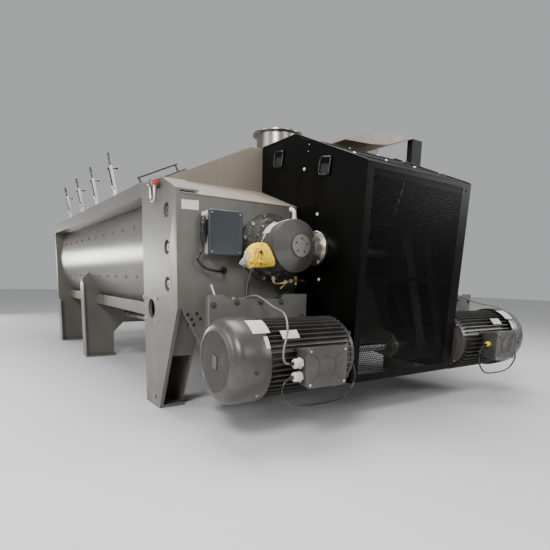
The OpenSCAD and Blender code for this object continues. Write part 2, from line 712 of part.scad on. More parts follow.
// Motors, drawn on the +Y side and mirrored for the left
motor_end = motor_inset + motor_length;
shield_t = 32;
frame_y0 = motor_inset + shield_t;
cowl_y = motor_end - 185;
core_r = 190;
stator_r = 150;
gap_r = 110;
mount_x = 256;
box_y = [740, 1010];
box_z = [343, 555];
box_x = motor_x + fin_r;
module motor_frame(s) color(grey_paint) at_origin() on_side(s) {
    fins = 44;
    difference() {
        union() {
            rod_y(motor_x, frame_y0, motor_z, core_r, cowl_y - frame_y0);
            translate([motor_x, cowl_y - 6, motor_z]) rotate([90, 0, 0])
                linear_extrude(cowl_y - frame_y0 - 18) intersection() {
                    circle(r = fin_r, $fn = 96);
                    for (k = [0:fins - 1]) rotate(k * 360 / fins)
                        translate([core_r - 4, -2]) square([fin_r, 4]);
                }
            // feet towards the bracket
            for (z = [-150, 90])
                box(mount_x, motor_x - 120, frame_y0 + 30, cowl_y - 50, motor_z + z, motor_z + z + 60);
            // pad under the terminal box
            box(motor_x + 150, box_x, box_y[0] + 30, box_y[1] - 30, box_z[0] + 26, box_z[1] - 26);
        }
        // bore of the stator core, wider at both ends round the windings
        rod_y(motor_x, frame_y0 - 1, motor_z, gap_r + 4, cowl_y - frame_y0 + 2);
        for (y = [frame_y0 - 1, cowl_y - 60]) rod_y(motor_x, y, motor_z, stator_r, 61);
        rod_x(motor_x + core_r - 40, (box_y[0] + box_y[1]) / 2, (box_z[0] + box_z[1]) / 2, 24, 140);
    }
}
module left_motor_frame() motor_frame(-1);
module right_motor_frame() motor_frame(1);

module motor_end_shields() color(grey_paint) at_origin() for (s = [-1, 1]) on_side(s) difference() {
    union() {
        turned_y(motor_x, motor_z, [
            [motor_inset - 14, 0], [motor_inset - 14, 70], [motor_inset, 74], [motor_inset, 150],
            [motor_inset + 10, 196], [frame_y0, 196], [frame_y0, stator_r],
            [frame_y0 + 14, stator_r], [frame_y0 + 14, 0]]);
        turned_y(motor_x, motor_z, [
            [cowl_y - 14, 0], [cowl_y - 14, stator_r], [cowl_y, stator_r], [cowl_y, 196], [cowl_y + 20, 190],
            [cowl_y + 30, 80], [cowl_y + 44, 60], [cowl_y + 44, 0]]);
    }
    rod_y(motor_x, 0, motor_z, motor_shaft_r + run_gap, 2000);
}

fan_y = motor_end - 118;
pulley_w = 90;
belt_sets = [belt_y, belt_y + belt_set_pitch];
function shaft_inner(s) = s < 0 ? -(belt_sets[0] + pulley_w) : belt_sets[1];
module motor_rotor(s) color(steel) at_origin() on_side(s) {
    rod_y(motor_x, shaft_inner(s), motor_z, motor_shaft_r, fan_y + 70 - shaft_inner(s));
    rod_y(motor_x, frame_y0 + 60, motor_z, gap_r, cowl_y - frame_y0 - 120);
}
module left_motor_rotor() motor_rotor(-1);
module right_motor_rotor() motor_rotor(1);

module cooling_fan(s) color(dark_rubber) at_origin() on_side(s) difference() {
    union() {
        turned_y(motor_x, motor_z, [
            [fan_y, 0], [fan_y, 190], [fan_y + 4, 190], [fan_y + 4, 48], [fan_y + 60, 48], [fan_y + 60, 0]]);
        for (k = [0:7]) translate([motor_x, fan_y, motor_z]) rotate([0, k * 45 + 10, 0])
            translate([38, 2, -2]) cube([144, 52, 4]);
    }
    rod_y(motor_x, fan_y - 1, motor_z, motor_shaft_r, 62);
}
module left_fan() cooling_fan(-1);
module right_fan() cooling_fan(1);

cowl_r = fin_r + 13;
module fan_cowl(s) color(grey_paint) at_origin() on_side(s) difference() {
    turned_y(motor_x, motor_z, [
        [cowl_y - 26, fin_r], [cowl_y - 26, cowl_r], [motor_end - 90, cowl_r], [motor_end - 60, cowl_r - 3],
        [motor_end - 36, cowl_r - 12], [motor_end - 18, cowl_r - 28], [motor_end - 6, cowl_r - 46],
        [motor_end, cowl_r - 59], [motor_end, 0], [motor_end - 4, 0], [motor_end - 4, cowl_r - 64],
        [motor_end - 12, cowl_r - 50], [motor_end - 24, cowl_r - 33], [motor_end - 41, cowl_r - 18],
        [motor_end - 63, cowl_r - 9], [motor_end - 90, cowl_r - 5], [cowl_y + 10, cowl_r - 5],
        [cowl_y - 6, fin_r]]);
    for (ring = [[50, 8], [90, 14], [130, 20]]) for (k = [0:ring[1] - 1])
        translate([motor_x, motor_end - 20, motor_z]) rotate([0, k * 360 / ring[1], 0])
            rod_y(ring[0], 0, 0, 13, 30, 24);
}
module left_fan_cowl() fan_cowl(-1);
module right_fan_cowl() fan_cowl(1);

// Terminal boxes on the motors and the junction box on the wall
jbox_y = [-1200, -973];
jbox_z = [1034, 1298];
jbox_x = 70;
module hollow_box(x0, x1, y, z, t) difference() {
    box(x0, x1, y[0], y[1], z[0], z[1]);
    box(x0 + t, x1 + 1, y[0] + t, y[1] - t, z[0] + t, z[1] - t);
}
module enclosures() color(grey_paint) at_origin() {
    for (s = [-1, 1]) on_side(s) difference() {
        hollow_box(box_x, box_x + box_depth, box_y, box_z, 8);
        rod_x(box_x - 1, (box_y[0] + box_y[1]) / 2, (box_z[0] + box_z[1]) / 2, 24, 20);
    }
    hollow_box(0, jbox_x, jbox_y, jbox_z, 6);
}
module enclosure_covers() color("#4e5a61") at_origin() {
    for (s = [-1, 1]) on_side(s) {
        x = box_x + box_depth;
        cy = (box_y[0] + box_y[1]) / 2;
        cz = (box_z[0] + box_z[1]) / 2;
        box(x, x + cover_t, box_y[0] - 2, box_y[1] + 2, box_z[0] - 2, box_z[1] + 2);
        translate([x + cover_t, cy, cz]) rotate([0, 90, 0]) linear_extrude(emboss) difference() {
            circle(r = 78);
            circle(r = 70);
        }
    }
    box(jbox_x, jbox_x + cover_t, jbox_y[0], jbox_y[1], jbox_z[0], jbox_z[1]);
}

// Belt drive
belts = 3;
belt_pitch = 27;
seat_gap = 0.25;
module grooved(x, z, r, y, bore) difference() {
    rod_y(x, y, z, r + 5, pulley_w, 96);
    for (k = [0:belts - 1]) difference() {
        rod_y(x, y + pulley_w / 2 + (k - 1) * belt_pitch - belt_w / 2 - pass_gap, z,
            r + 20, belt_w + 2 * pass_gap, 96);
        rod_y(x, y, z, r - belt_h / 2, pulley_w, 96);
    }
    rod_y(x, y - 1, z, bore, pulley_w + 2);
}
module driven_pulleys() color(pulley_grey) at_origin() for (y = belt_sets) difference() {
    grooved(cross_x, shaft_height, big_pulley_r, y, cross_r);
    for (face = [y - 1, y + pulley_w - 29]) difference() {
        rod_y(cross_x, face, shaft_height, big_pulley_r - 40, 30);
        rod_y(cross_x, face, shaft_height, cross_r + 32, 30);
    }
}
module cross_shaft() color(steel) at_origin()
    rod_y(cross_x, -cross_end, shaft_height, cross_r, 2 * cross_end);
module left_motor_pulley() color(pulley_grey) at_origin()
    grooved(motor_x, motor_z, small_pulley_r, belt_sets[0], motor_shaft_r);
module right_motor_pulley() color(pulley_grey) at_origin()
    grooved(motor_x, motor_z, small_pulley_r, belt_sets[1], motor_shaft_r);

belt_span = [motor_x - cross_x, motor_z - shaft_height];
belt_dist = sqrt(belt_span[0] * belt_span[0] + belt_span[1] * belt_span[1]);
module belt_loop(grow) {
    u = belt_span / belt_dist;
    v = [-u[1], u[0]];
    c1 = [cross_x, shaft_height];
    c2 = [motor_x, motor_z];
    r1 = big_pulley_r - belt_h / 2 + seat_gap + grow;
    r2 = small_pulley_r - belt_h / 2 + seat_gap + grow;
    sb = (r1 - r2) / belt_dist;
    cb = sqrt(1 - sb * sb);
    n1 = u * sb + v * cb;
    n2 = u * sb - v * cb;
    translate(c1) circle(r = r1, $fn = 96);
    translate(c2) circle(r = r2, $fn = 96);
    polygon([c1 + r1 * n1, c2 + r2 * n1, c2 + r2 * n2, c1 + r1 * n2]);
}
module drive_belts() color(dark_rubber) at_origin() for (y = belt_sets) for (k = [0:belts - 1])
    along_y(y + pulley_w / 2 + (k - 1) * belt_pitch - belt_w / 2, belt_w) difference() {
        belt_loop(belt_h);
        belt_loop(0);
    }

outboard_y = -35;
bracket_y = [575, 1180];
bracket_low = 190;
bracket_top = shaft_height - gear_flange_r - 73;
module motor_brackets() color(grey_paint) at_origin() {
    plate_t = 20;
    plate_x = mount_x - 2 * plate_t;
    plate_out = 1280;
    gusset_z = bracket_top - 85;
    for (s = [-1, 1]) on_side(s) {
        for (y = bracket_y) along_y(y, plate_t) polygon([
            [0, bracket_low - 10], [plate_x + 1, bracket_low - 10], [plate_x + 1, bracket_top - 60],
            [110, bracket_top - 15], [0, bracket_top - 15]]);
        // mounting plate, its ends higher than its middle
        along_x(plate_x, plate_t) polygon([
            [bracket_y[0], bracket_low], [bracket_y[0], bracket_top], [740, bracket_top],
            [775, bracket_top - 30], [1149, bracket_top - 30], [1185, bracket_top - 5],
            [plate_out, bracket_top - 5],
            [plate_out, 560], [plate_out - 80, 480], [plate_out - 80, bracket_low]]);
        for (z = [-165, 75])
            box(mount_x - plate_t, mount_x, bracket_y[0] + 15, cowl_y - 40, motor_z + z, motor_z + z + 90);
        box(0, plate_x + 1, bracket_y[0] + plate_t - 1, bracket_y[1] + 1, gusset_z, gusset_z + 12);
    }
    // outboard bearing of the long motor shaft
    difference() {
        union() {
            along_y(outboard_y, plate_t) polygon([
                [0, 450], [0, 680], [motor_x + 20, 540], [motor_x + 75, 460], [motor_x + 20, 380]]);
            rod_y(motor_x, outboard_y - 20, motor_z, 62, 60);
        }
        rod_y(motor_x, outboard_y - 40, motor_z, motor_shaft_r + run_gap, 120);
    }
}

// Belt guard
guard_x0 = trough_x0 + 2;
guard_apex = -30;
guard_top = hood_top;
roof_drop = guard_t * 1.1;
tube = 30;
function ledge_z(x) = wall_top + ledge_t / cos(ledge_angle) - x * tan(ledge_angle) + 0.2;
function guard_x(z) = guard_foot + (z - guard_low) * (guard_front - guard_foot) / (guard_brow - guard_low);
function guard_outline(d) = [
    [d, guard_low + d], [guard_x(guard_low + d) - guard_t - d, guard_low + d],
    [guard_x(guard_brow - roof_drop - d * 0.8) - guard_t - d, guard_brow - roof_drop - d * 0.8],
    [guard_apex - d * 0.2, guard_top - roof_drop - d], [guard_x0 + d, guard_top - roof_drop - d],
    [guard_x0 + d, ledge_z(guard_x0) + d], [4 + d * 0.6, ledge_z(4) + d],
    [4 + d * 0.6, wall_top - 2], [d, wall_top - 2]];
module guard_frame() color(guard_black) at_origin() {
    for (s = [-1, 1]) on_side(s) along_y(guard_half - guard_t - tube, tube) difference() {
        polygon(guard_outline(0));
        polygon(guard_outline(tube));
    }
    reach = guard_half - guard_t - tube;
    for (z = [guard_low, 900, guard_brow - 70])
        box(guard_x(z) - guard_t - tube, guard_x(z) - guard_t, -reach, reach, z, z + tube);
    for (bar = [[guard_apex, guard_top - roof_drop - tube - 20], [guard_x0, guard_top - roof_drop - tube]])
        box(bar[0], bar[0] + tube, -reach, reach, bar[1], bar[1] + tube);
}
// The seam parts the removable front panel from the panel beside the seal compartment
seam = 4;
seam_foot = [-27, wall_top - 14];
seam_head = [146, guard_top + 26];
handle_places = [[-222, guard_top - 120], [290, guard_brow + 34]];
module guard_side_panels() color(guard_black) at_origin() for (s = [-1, 1]) on_side(s) {
    difference() {
        along_y(guard_half - guard_t, guard_t) polygon(guard_outline(0));
        rod_y(cross_x, guard_half - 10, shaft_height, cross_r + 20, 20);
        rod_y(motor_x, guard_half - 10, motor_z, motor_shaft_r + 20, 20);
        along_y(guard_half - 10, 20) polygon([
            seam_foot - [seam / 2, 0], seam_foot + [seam / 2, 0],
            seam_head + [seam / 2, 0], seam_head - [seam / 2, 0]]);
    }
    // recessed pull handles
    for (h = handle_places) translate([h[0], guard_half, h[1]]) rotate([0, 10, 0]) difference() {
        translate([-56, 0, -58]) cube([112, 9, 116]);
        translate([-44, 1, -46]) cube([88, 5, 92]);
        translate([-44, 5, -46]) cube([88, 5, 62]);
    }
}
module guard_front_mesh() color(guard_black) at_origin() difference() {
    z1 = guard_brow - roof_drop;
    rows = floor((z1 - guard_low - 120) / mesh_pitch);
    cols = floor((2 * guard_half - 120) / mesh_pitch);
    along_y(-guard_half, 2 * guard_half) polygon([
        [guard_foot - guard_t, guard_low], [guard_foot, guard_low],
        [guard_x(z1), z1], [guard_x(z1) - guard_t, z1]]);
    for (r = [0:rows]) for (c = [0:cols - (r % 2)]) let (z = guard_low + 60 + r * mesh_pitch)
        rod_x(guard_x(z) - 20, (c - (cols - (r % 2)) / 2) * mesh_pitch, z, mesh_pitch * 0.3, 40, 24);
}
module guard_roof() color(guard_black) at_origin() along_y(-guard_half, 2 * guard_half) polygon([
    [guard_front, guard_brow - roof_drop], [guard_front, guard_brow], [guard_apex, guard_top],
    [guard_x0, guard_top], [guard_x0, guard_top - roof_drop], [guard_apex, guard_top - roof_drop]]);

// Discharge doors
module door_sector(r0, r1, a) difference() {
    intersection() {
        circle(r = r1, $fn = 96);
        sector(-a, a, r1 + 100);
    }
    circle(r = r0, $fn = 96);
}
door_shaft_out = 62;
module door(s) color(steel) at_origin() on_side(s) translate([0, shaft_y, shaft_height]) {
    edge = atan(door_gap / drum_radius);
    hy = hinge_y - shaft_y;
    hz = hinge_z - shaft_height;
    along_x(door_x0, door_length) door_sector(drum_radius - trough_t, drum_radius, door_half_angle - edge);
    // straps to the hinge shaft
    for (x = [door_x0 + 60, (door_x0 + door_x1) / 2 - 30, door_x1 - 120]) along_x(x, 60) difference() {
        union() {
            polygon([[hy, hz - 18], [hy, hz + 18], [drum_radius * sin(15), -drum_radius * cos(15) + 2],
                     [drum_radius * sin(15) - 120, -drum_radius * cos(3) + 2],
                     [drum_radius * sin(15) - 120, -drum_radius * cos(3) - 25]]);
            translate([hy, hz]) circle(r = door_shaft_r + 14);
        }
        circle(r = drum_radius - 3, $fn = 96);
        sector(door_half_angle - edge, 60, drum_radius + 2);
    }
    rod_x(door_x0 - door_shaft_out, hy, hz, door_shaft_r, door_length + 2 * door_shaft_out);
}
module left_door() door(-1);
module right_door() door(1);

bearing_t = 24;
bearing_gap = 14;
module door_bearings() color(trough_grey) at_origin() for (s = [-1, 1]) on_side(s)
    translate([0, shaft_y, shaft_height]) for (x = [door_x0 - bearing_gap - bearing_t, door_x1 + bearing_gap])
    along_x(x, bearing_t) difference() {
        hy = hinge_y - shaft_y;
        hz = hinge_z - shaft_height;
        union() {
            translate([hy, hz]) circle(r = hinge_boss_r);
            polygon([for (p = [[-5, 590], [5, 590], [4, hinge_radius], [-4, hinge_radius]])
                [p[1] * sin(hinge_angle + p[0]), -p[1] * cos(hinge_angle + p[0])]]);
        }
        circle(r = drum_radius, $fn = 96);
        translate([hy, hz]) circle(r = door_shaft_r + run_gap);
    }
module door_actuators() color(hood_beige) at_origin() for (s = [-1, 1]) on_side(s) difference() {
    x = door_x1 + bearing_gap + bearing_t;
    rod_x(x, hinge_y, hinge_z, 56, 170);
    rod_x(x - 1, hinge_y, hinge_z, door_shaft_r + run_gap, 40);
}

// Cables
gland_x = 755;
cable_r = 7;
lead_r = 8;
wall_gland = [990, 760];
plug = [42, jbox_y[0] - 21];
plug_low = 1105;
lead_entry = [-1064, 944];
module cable_glands() color("#d9d7ce") at_origin() {
    mouth = cable_r + 4;
    for (s = [-1, 1]) on_side(s) {
        for (z = [470, 400]) difference() {
            union() {
                rod_y(gland_x, box_y[1], z, 30, 14, 6);
                rod_y(gland_x, box_y[1] + 14, z, 26, 36);
            }
            rod_y(gland_x, box_y[1] + 24, z, mouth, 30);
        }
        difference() {
            rod_y(gland_x, box_y[0] - 34, 460, 20, 34);
            rod_y(gland_x, box_y[0] - 35, 460, mouth, 16);
        }
        difference() {
            rod_x(0, wall_gland[0], wall_gland[1], 20, 18);
            rod_x(2, wall_gland[0], wall_gland[1], mouth, 20);
        }
    }
    // plug on the junction box and the seal where its lead enters the wall
    difference() {
        union() {
            rod_z(plug[0], plug[1], plug_low, 20, 150);
            box(plug[0] - 16, plug[0] + 16, plug[1], jbox_y[0], plug_low + 50, plug_low + 130);
        }
        rod_z(plug[0], plug[1], plug_low - 1, lead_r + 3, 16);
    }
    rod_x(0, lead_entry[0], lead_entry[1], 24, 1);
}

function unit(v) = v / norm(v);
function curve(a, b, c, d, t) = 0.5 * (2 * b + (c - a) * t + (2 * a - 5 * b + 4 * c - d) * t * t
    + (3 * b - a - 3 * c + d) * t * t * t);
function path(pts, steps) = concat([for (k = [1:len(pts) - 3]) for (j = [0:steps - 1])
    curve(pts[k - 1], pts[k], pts[k + 1], pts[k + 2], j / steps)], [pts[len(pts) - 2]]);
function heading(p, k) = unit(p[min(k + 1, len(p) - 1)] - p[max(k - 1, 0)]);
function across(v, t) = unit(v - (v * t) * t);
function normals(p, k, n) = k == len(p) ? [] :
    let (m = across(n, heading(p, k))) concat([m], normals(p, k + 1, m));
module cable(pts, r, steps, n0) {
    sides = 10;
    p = path(pts, steps);
    ns = normals(p, 0, n0);
    points = [for (k = [0:len(p) - 1]) let (b = cross(heading(p, k), ns[k])) for (j = [0:sides - 1])
        p[k] + r * (cos(j * 360 / sides) * ns[k] + sin(j * 360 / sides) * b)];
    walls = [for (k = [0:len(p) - 2]) for (j = [0:sides - 1])
        let (i = (j + 1) % sides) [k * sides + j, (k + 1) * sides + j, (k + 1) * sides + i, k * sides + i]];
    first = [for (j = [0:sides - 1]) j];
    last = [for (j = [0:sides - 1]) len(p) * sides - 1 - j];
    polyhedron(points = points, faces = concat([first, last], walls));
}
supply_route = [
    [755, 1005, 470], [755, 1034.5, 470], [758, 1110, 480], [765, 1130, 540], [740, 1090, 640],
    [640, 1040, 715], [470, 1000, 745], [280, 990, 796], [120, 990, 772], [3, 990, 760], [-80, 990, 760]];
loop_route = [
    [755, 1005, 400], [755, 1034.5, 400], [757, 1105, 385], [760, 1125, 320], [764, 1030, 250],
    [765, 850, 235], [764, 700, 255], [760, 625, 340], [757, 640, 430], [755, 720, 460], [755, 750, 460]];
junction_route = [[42, -1221, 1165], [42, -1221, 1118.4], [43, -1232, 1062], [45, -1262, 1005],
                  [52, -1215, 955], [54, -1130, 937], [6, -1064, 944], [-46, -1058, 946]];
module supply_cable(s) color(dark_rubber) at_origin() on_side(s) cable(supply_route, cable_r, 2, [1, 0, 0]);
module loop_cable(s) color(dark_rubber) at_origin() on_side(s) cable(loop_route, cable_r, 2, [1, 0, 0]);
module left_supply_cable() supply_cable(-1);
module right_supply_cable() supply_cable(1);
module left_loop_cable() loop_cable(-1);
module right_loop_cable() loop_cable(1);
module junction_cable() color(dark_rubber) at_origin() cable(junction_route, lead_r, 2, [1, 0, 0]);

// Bolt heads
module hex_x(x, y, z, r, h) rod_x(x, y, z, r, h, 6);
module hex_y(x, y, z, r, h) rod_y(x, y, z, r, h, 6);
// count heads of radius r and height h on a circle of radius ring_r, the first one at angle a0
module hex_ring(x, y, z, ring_r, count, a0, r, h) for (k = [0:count - 1]) let (a = a0 + k * 360 / count)
    hex_x(x, y + ring_r * cos(a), z + ring_r * sin(a), r, h);
module fasteners() color(steel) at_origin() {
    for (s = [-1, 1]) on_side(s) {
        hex_ring(28, shaft_y, shaft_height, 205, 12, 15, 13, 12);
        hex_ring(gear_ring_x, shaft_y, shaft_height, 174, 16, 0, 7, 8);
        hex_ring(far_x - 42, shaft_y, shaft_height, 122, 8, 0, 13, 12);
        hex_ring(trough_x0 + 16, shaft_y, shaft_height, 118, 6, 0, 11, 10);
        for (z = port_z) hex_y(port_x, inner_face, z, 24, 16);
        for (x = [-135, 109]) for (z = [-73, 73]) hex_y(flange_x + x, half_width, flange_z + z, 12, 8);
    }
}

// Bag that hangs on the left gear unit's ring
module document_pouch() color("#c9b13a") at_origin() along_x(gear_ring_x + 8.2, 8) difference() {
    polygon([[-998, 1027], [-985, 1063], [-935, 1108], [-890, 1124], [-850, 1110], [-842, 1010], [-850, 975],
             [-925, 962], [-962, 961], [-1026, 983]]);
    translate([-shaft_y, shaft_height]) circle(r = gear_r + 1);
}

drive_end_wall();
far_end_wall();
trough();
left_column();
right_column();
under_frame();
hood();
inlet_neck();
vent_box();
hatch_lid();
hatch_gasket();
hood_fittings();
swing_clamp_1();
swing_clamp_2();
swing_clamp_3();
swing_clamp_4();
left_gear_unit();
right_gear_unit();
gear_fittings();
left_rotor_shaft();
left_paddles();
right_rotor_shaft();
right_paddles();
rotor_bearings();
shaft_seals();
left_motor_frame();
right_motor_frame();
motor_end_shields();
left_motor_rotor();
right_motor_rotor();
left_fan();
right_fan();
left_fan_cowl();
right_fan_cowl();
enclosures();
enclosure_covers();
cross_shaft();
driven_pulleys();
left_motor_pulley();
right_motor_pulley();
drive_belts();
motor_brackets();
guard_frame();
guard_side_panels();
guard_front_mesh();
guard_roof();
left_door();
right_door();
door_bearings();
door_actuators();
left_shackle();
right_shackle();
cable_glands();
left_supply_cable();
left_loop_cable();
right_supply_cable();
right_loop_cable();
junction_cable();
fasteners();
document_pouch();
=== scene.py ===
import bmesh
import bpy
import json
import math
import numpy as np
from mathutils import Matrix, Vector, noise as mnoise

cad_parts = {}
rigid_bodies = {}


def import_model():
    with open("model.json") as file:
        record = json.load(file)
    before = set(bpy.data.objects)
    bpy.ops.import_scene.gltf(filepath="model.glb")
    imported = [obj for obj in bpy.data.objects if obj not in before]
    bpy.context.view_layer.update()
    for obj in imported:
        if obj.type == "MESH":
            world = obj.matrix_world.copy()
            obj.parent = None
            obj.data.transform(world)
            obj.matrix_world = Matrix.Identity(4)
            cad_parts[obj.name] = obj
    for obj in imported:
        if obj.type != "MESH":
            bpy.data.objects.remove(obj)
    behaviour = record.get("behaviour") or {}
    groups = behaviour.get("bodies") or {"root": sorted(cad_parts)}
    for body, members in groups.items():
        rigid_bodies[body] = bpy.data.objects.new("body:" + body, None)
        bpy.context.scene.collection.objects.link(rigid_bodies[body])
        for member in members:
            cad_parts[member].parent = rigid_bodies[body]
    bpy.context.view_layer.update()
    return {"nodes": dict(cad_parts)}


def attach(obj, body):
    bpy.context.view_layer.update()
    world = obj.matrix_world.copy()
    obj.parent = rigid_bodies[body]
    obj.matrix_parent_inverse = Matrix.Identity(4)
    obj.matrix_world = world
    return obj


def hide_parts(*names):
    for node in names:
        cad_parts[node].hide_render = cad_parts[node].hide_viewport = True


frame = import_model()
nodes = frame["nodes"]
midX = 1.74  # the wall's front face is at this x; places below are counted from it, towards the camera


def place(x, y, z):
    return Vector((x + midX, y, z))


# Camera: measured from the photograph's vanishing lines
print("camera")
camera = {
    "spot": (2.56, -2.42, 0.90),
    "yaw": 34.6,
    "pitch": 9.3,
    "roll": -1.3,
    "lens": 29.32,
    "shift": 0.14,
}


def makeCamera(c):
    yaw, pitch, roll = (math.radians(c[k]) for k in ("yaw", "pitch", "roll"))
    forward = Vector((-math.cos(yaw) * math.cos(pitch), math.sin(yaw) * math.cos(pitch), -math.sin(pitch)))
    right = forward.cross(Vector((0, 0, 1))).normalized()
    down = forward.cross(right)
    turnedRight = math.cos(roll) * right + math.sin(roll) * down
    turnedDown = -math.sin(roll) * right + math.cos(roll) * down
    data = bpy.data.cameras.new("photoCamera")
    data.lens = c["lens"]
    data.sensor_width = 36
    data.shift_y = c["shift"]
    data.clip_end = 60
    eye = bpy.data.objects.new("photoCamera", data)
    bpy.context.scene.collection.objects.link(eye)
    turn = Matrix((turnedRight, -turnedDown, -forward)).transposed().to_4x4()
    eye.matrix_world = Matrix.Translation(place(*c["spot"])) @ turn
    bpy.context.scene.camera = eye


makeCamera(camera)


class Wire:
    # A node's output that takes part in Python sums
    def __init__(self, board, socket):
        self.board = board
        self.socket = socket

    def sum(self, how, first, second):
        return self.board.add("ShaderNodeMath", {"operation": how}, {0: first, 1: second})

    def __add__(self, other):
        return self.sum("ADD", self, other)

    def __radd__(self, other):
        return self.sum("ADD", other, self)

    def __sub__(self, other):
        return self.sum("SUBTRACT", self, other)

    def __rsub__(self, other):
        return self.sum("SUBTRACT", other, self)

    def __mul__(self, other):
        return self.sum("MULTIPLY", self, other)

    def __rmul__(self, other):
        return self.sum("MULTIPLY", other, self)

    def ramp(self, low, high, bottom=0.0, top=1.0):
        return self.board.add("ShaderNodeMapRange", {"clamp": True},
                              {0: self, 1: low, 2: high, 3: bottom, 4: top})


class Board:
    # One material's node tree
    def __init__(self, name):
        self.material = bpy.data.materials.new(name)
        self.material.use_nodes = True
        self.tree = self.material.node_tree
        self.shader = self.tree.nodes["Principled BSDF"]
        self.spot = self.add("ShaderNodeTexCoord", {}, {}, "Object")

    def add(self, kind, settings, sockets, out=0):
        node = self.tree.nodes.new(kind)
        for key, value in settings.items():
            setattr(node, key, value)
        for key, value in sockets.items():
            if isinstance(value, Wire):
                self.tree.links.new(value.socket, node.inputs[key])
            else:
                node.inputs[key].default_value = value
        return Wire(self, node.outputs[out])

    def noise(self, scale, detail=3.0, rough=0.5, stretch=(1, 1, 1)):
        spot = self.add("ShaderNodeMapping", {}, {"Vector": self.spot, "Scale": stretch})
        return self.add("ShaderNodeTexNoise", {}, {"Vector": spot, "Scale": scale, "Detail": detail,
                                                   "Roughness": rough})

    def height(self):
        return self.add("ShaderNodeSeparateXYZ", {}, {0: self.spot}, "Z")

    def blend(self, share, first, second):
        return self.add("ShaderNodeMix", {"data_type": "RGBA"}, {"Factor": share, "A": first, "B": second}, 2)

    def bump(self, level, strength, distance):
        return self.add("ShaderNodeBump", {}, {"Height": level, "Strength": strength, "Distance": distance})

    def feed(self, **sockets):
        for key, value in sockets.items():
            socket = self.shader.inputs[key.replace("_", " ")]
            if isinstance(value, Wire):
                self.tree.links.new(value.socket, socket)
            else:
                socket.default_value = value
        return self.material


def tone(colour, factor=1.0):
    return (colour[0] * factor, colour[1] * factor, colour[2] * factor, 1.0)


print("materials")


def satinPaint(name, colour, rough=0.42, metal=0.0, dust=0.25):
    b = Board(name)
    broad = b.noise(0.9, 4, 0.55)
    patches = b.noise(6.5, 5, 0.6)
    runs = b.noise(5.0, 4, 0.6, (1.0, 1.0, 0.12))
    peel = b.noise(260, 2, 0.5)
    grit = b.noise(38, 6, 0.7)
    low = b.height().ramp(0.9, 0.0)
    settled = (patches.ramp(0.48, 0.72) * (low * 0.7 + 0.3) + grit.ramp(0.62, 0.75) * 0.4) * dust
    shade = b.blend(broad.ramp(0.35, 0.65), tone(colour, 0.9), tone(colour, 1.08))
    shade = b.blend(runs.ramp(0.52, 0.68) * 0.22, shade, tone(colour, 0.7))
    shade = b.blend(settled, shade, (0.46, 0.42, 0.36, 1))
    gloss = rough + (patches - 0.5) * 0.04 + settled * 0.35
    skin = b.bump(peel * 0.9 + patches * 0.1, 0.06, 0.0008)
    return b.feed(Base_Color=shade, Roughness=gloss, Metallic=metal, Normal=skin)


def bareSteel(name, colour, rough=0.3, grain=(1, 1, 14), stain=0.3):
    b = Board(name)
    lines = b.noise(90, 4, 0.65, grain)
    cloud = b.noise(7, 5, 0.6)
    spots = b.noise(45, 5, 0.7)
    dirt = (cloud.ramp(0.5, 0.72) * 0.7 + spots.ramp(0.62, 0.72) * 0.5) * stain
    shade = b.blend(lines.ramp(0.35, 0.65), tone(colour, 0.86), tone(colour, 1.1))
    shade = b.blend(dirt, shade, (0.10, 0.085, 0.07, 1))
    gloss = rough + (lines - 0.5) * 0.25 + dirt * 0.35
    return b.feed(Base_Color=shade, Roughness=gloss, Metallic=1.0, Normal=b.bump(lines, 0.12, 0.0008))


def moulded(name, colour, rough=0.5, clear=0.0):
    b = Board(name)
    grain = b.noise(420, 2, 0.5)
    cloud = b.noise(9, 4, 0.6)
    shade = b.blend(cloud.ramp(0.4, 0.7), tone(colour), tone(colour, 0.82))
    gloss = rough + (cloud - 0.5) * 0.15
    return b.feed(Base_Color=shade, Roughness=gloss, Alpha=1.0 - clear, Normal=b.bump(grain, 0.15, 0.0005))


def castIron(name, colour):
    b = Board(name)
    pits = b.noise(160, 5, 0.7)
    oil = b.noise(12, 4, 0.6)
    shade = b.blend(oil.ramp(0.42, 0.66), tone(colour, 0.8), tone(colour, 1.4))
    return b.feed(Base_Color=shade, Roughness=oil.ramp(0.3, 0.7, 0.5, 0.32), Metallic=0.75,
                  Normal=b.bump(pits, 0.25, 0.001))


greys = {
    "machine": (0.125, 0.121, 0.108),
    "drum": (0.150, 0.140, 0.124),
    "hood": (0.225, 0.188, 0.145),
    "motor": (0.046, 0.0445, 0.040),
    "gear": (0.088, 0.085, 0.076),
    "guard": (0.0010, 0.0010, 0.0009),
    "cover": (0.030, 0.037, 0.043),
}
machineGrey = satinPaint("machineGrey", greys["machine"], 0.40, 0.25)
drumGrey = satinPaint("drumGrey", greys["drum"], 0.30, 0.35, 0.02)
hoodGrey = satinPaint("hoodGrey", greys["hood"], 0.45, 0.2)
motorGrey = satinPaint("motorGrey", greys["motor"], 0.33, 0.0, 0.12)
gearGrey = satinPaint("gearGrey", greys["gear"], 0.27, 0.35, 0.12)
guardBlack = satinPaint("guardBlack", greys["guard"], 0.36, 0.0, 0.0)
guardBlack.node_tree.nodes["Principled BSDF"].inputs["Specular IOR Level"].default_value = 0.09
coverSlate = satinPaint("coverSlate", greys["cover"], 0.45, 0.0, 0.08)
shaftSteel = bareSteel("shaftSteel", (0.50, 0.50, 0.51), 0.3, (14, 1, 1), 0.35)
boltSteel = bareSteel("boltSteel", (0.52, 0.50, 0.46), 0.32, (1, 1, 4), 0.3)
wornPlate = bareSteel("wornPlate", (0.34, 0.32, 0.30), 0.42, (3, 3, 3), 0.6)
clampChrome = bareSteel("clampChrome", (0.17, 0.165, 0.155), 0.12, (1, 1, 8), 0.10)
neckSteel = bareSteel("neckSteel", (0.24, 0.23, 0.21), 0.3, (1, 1, 10), 0.4)
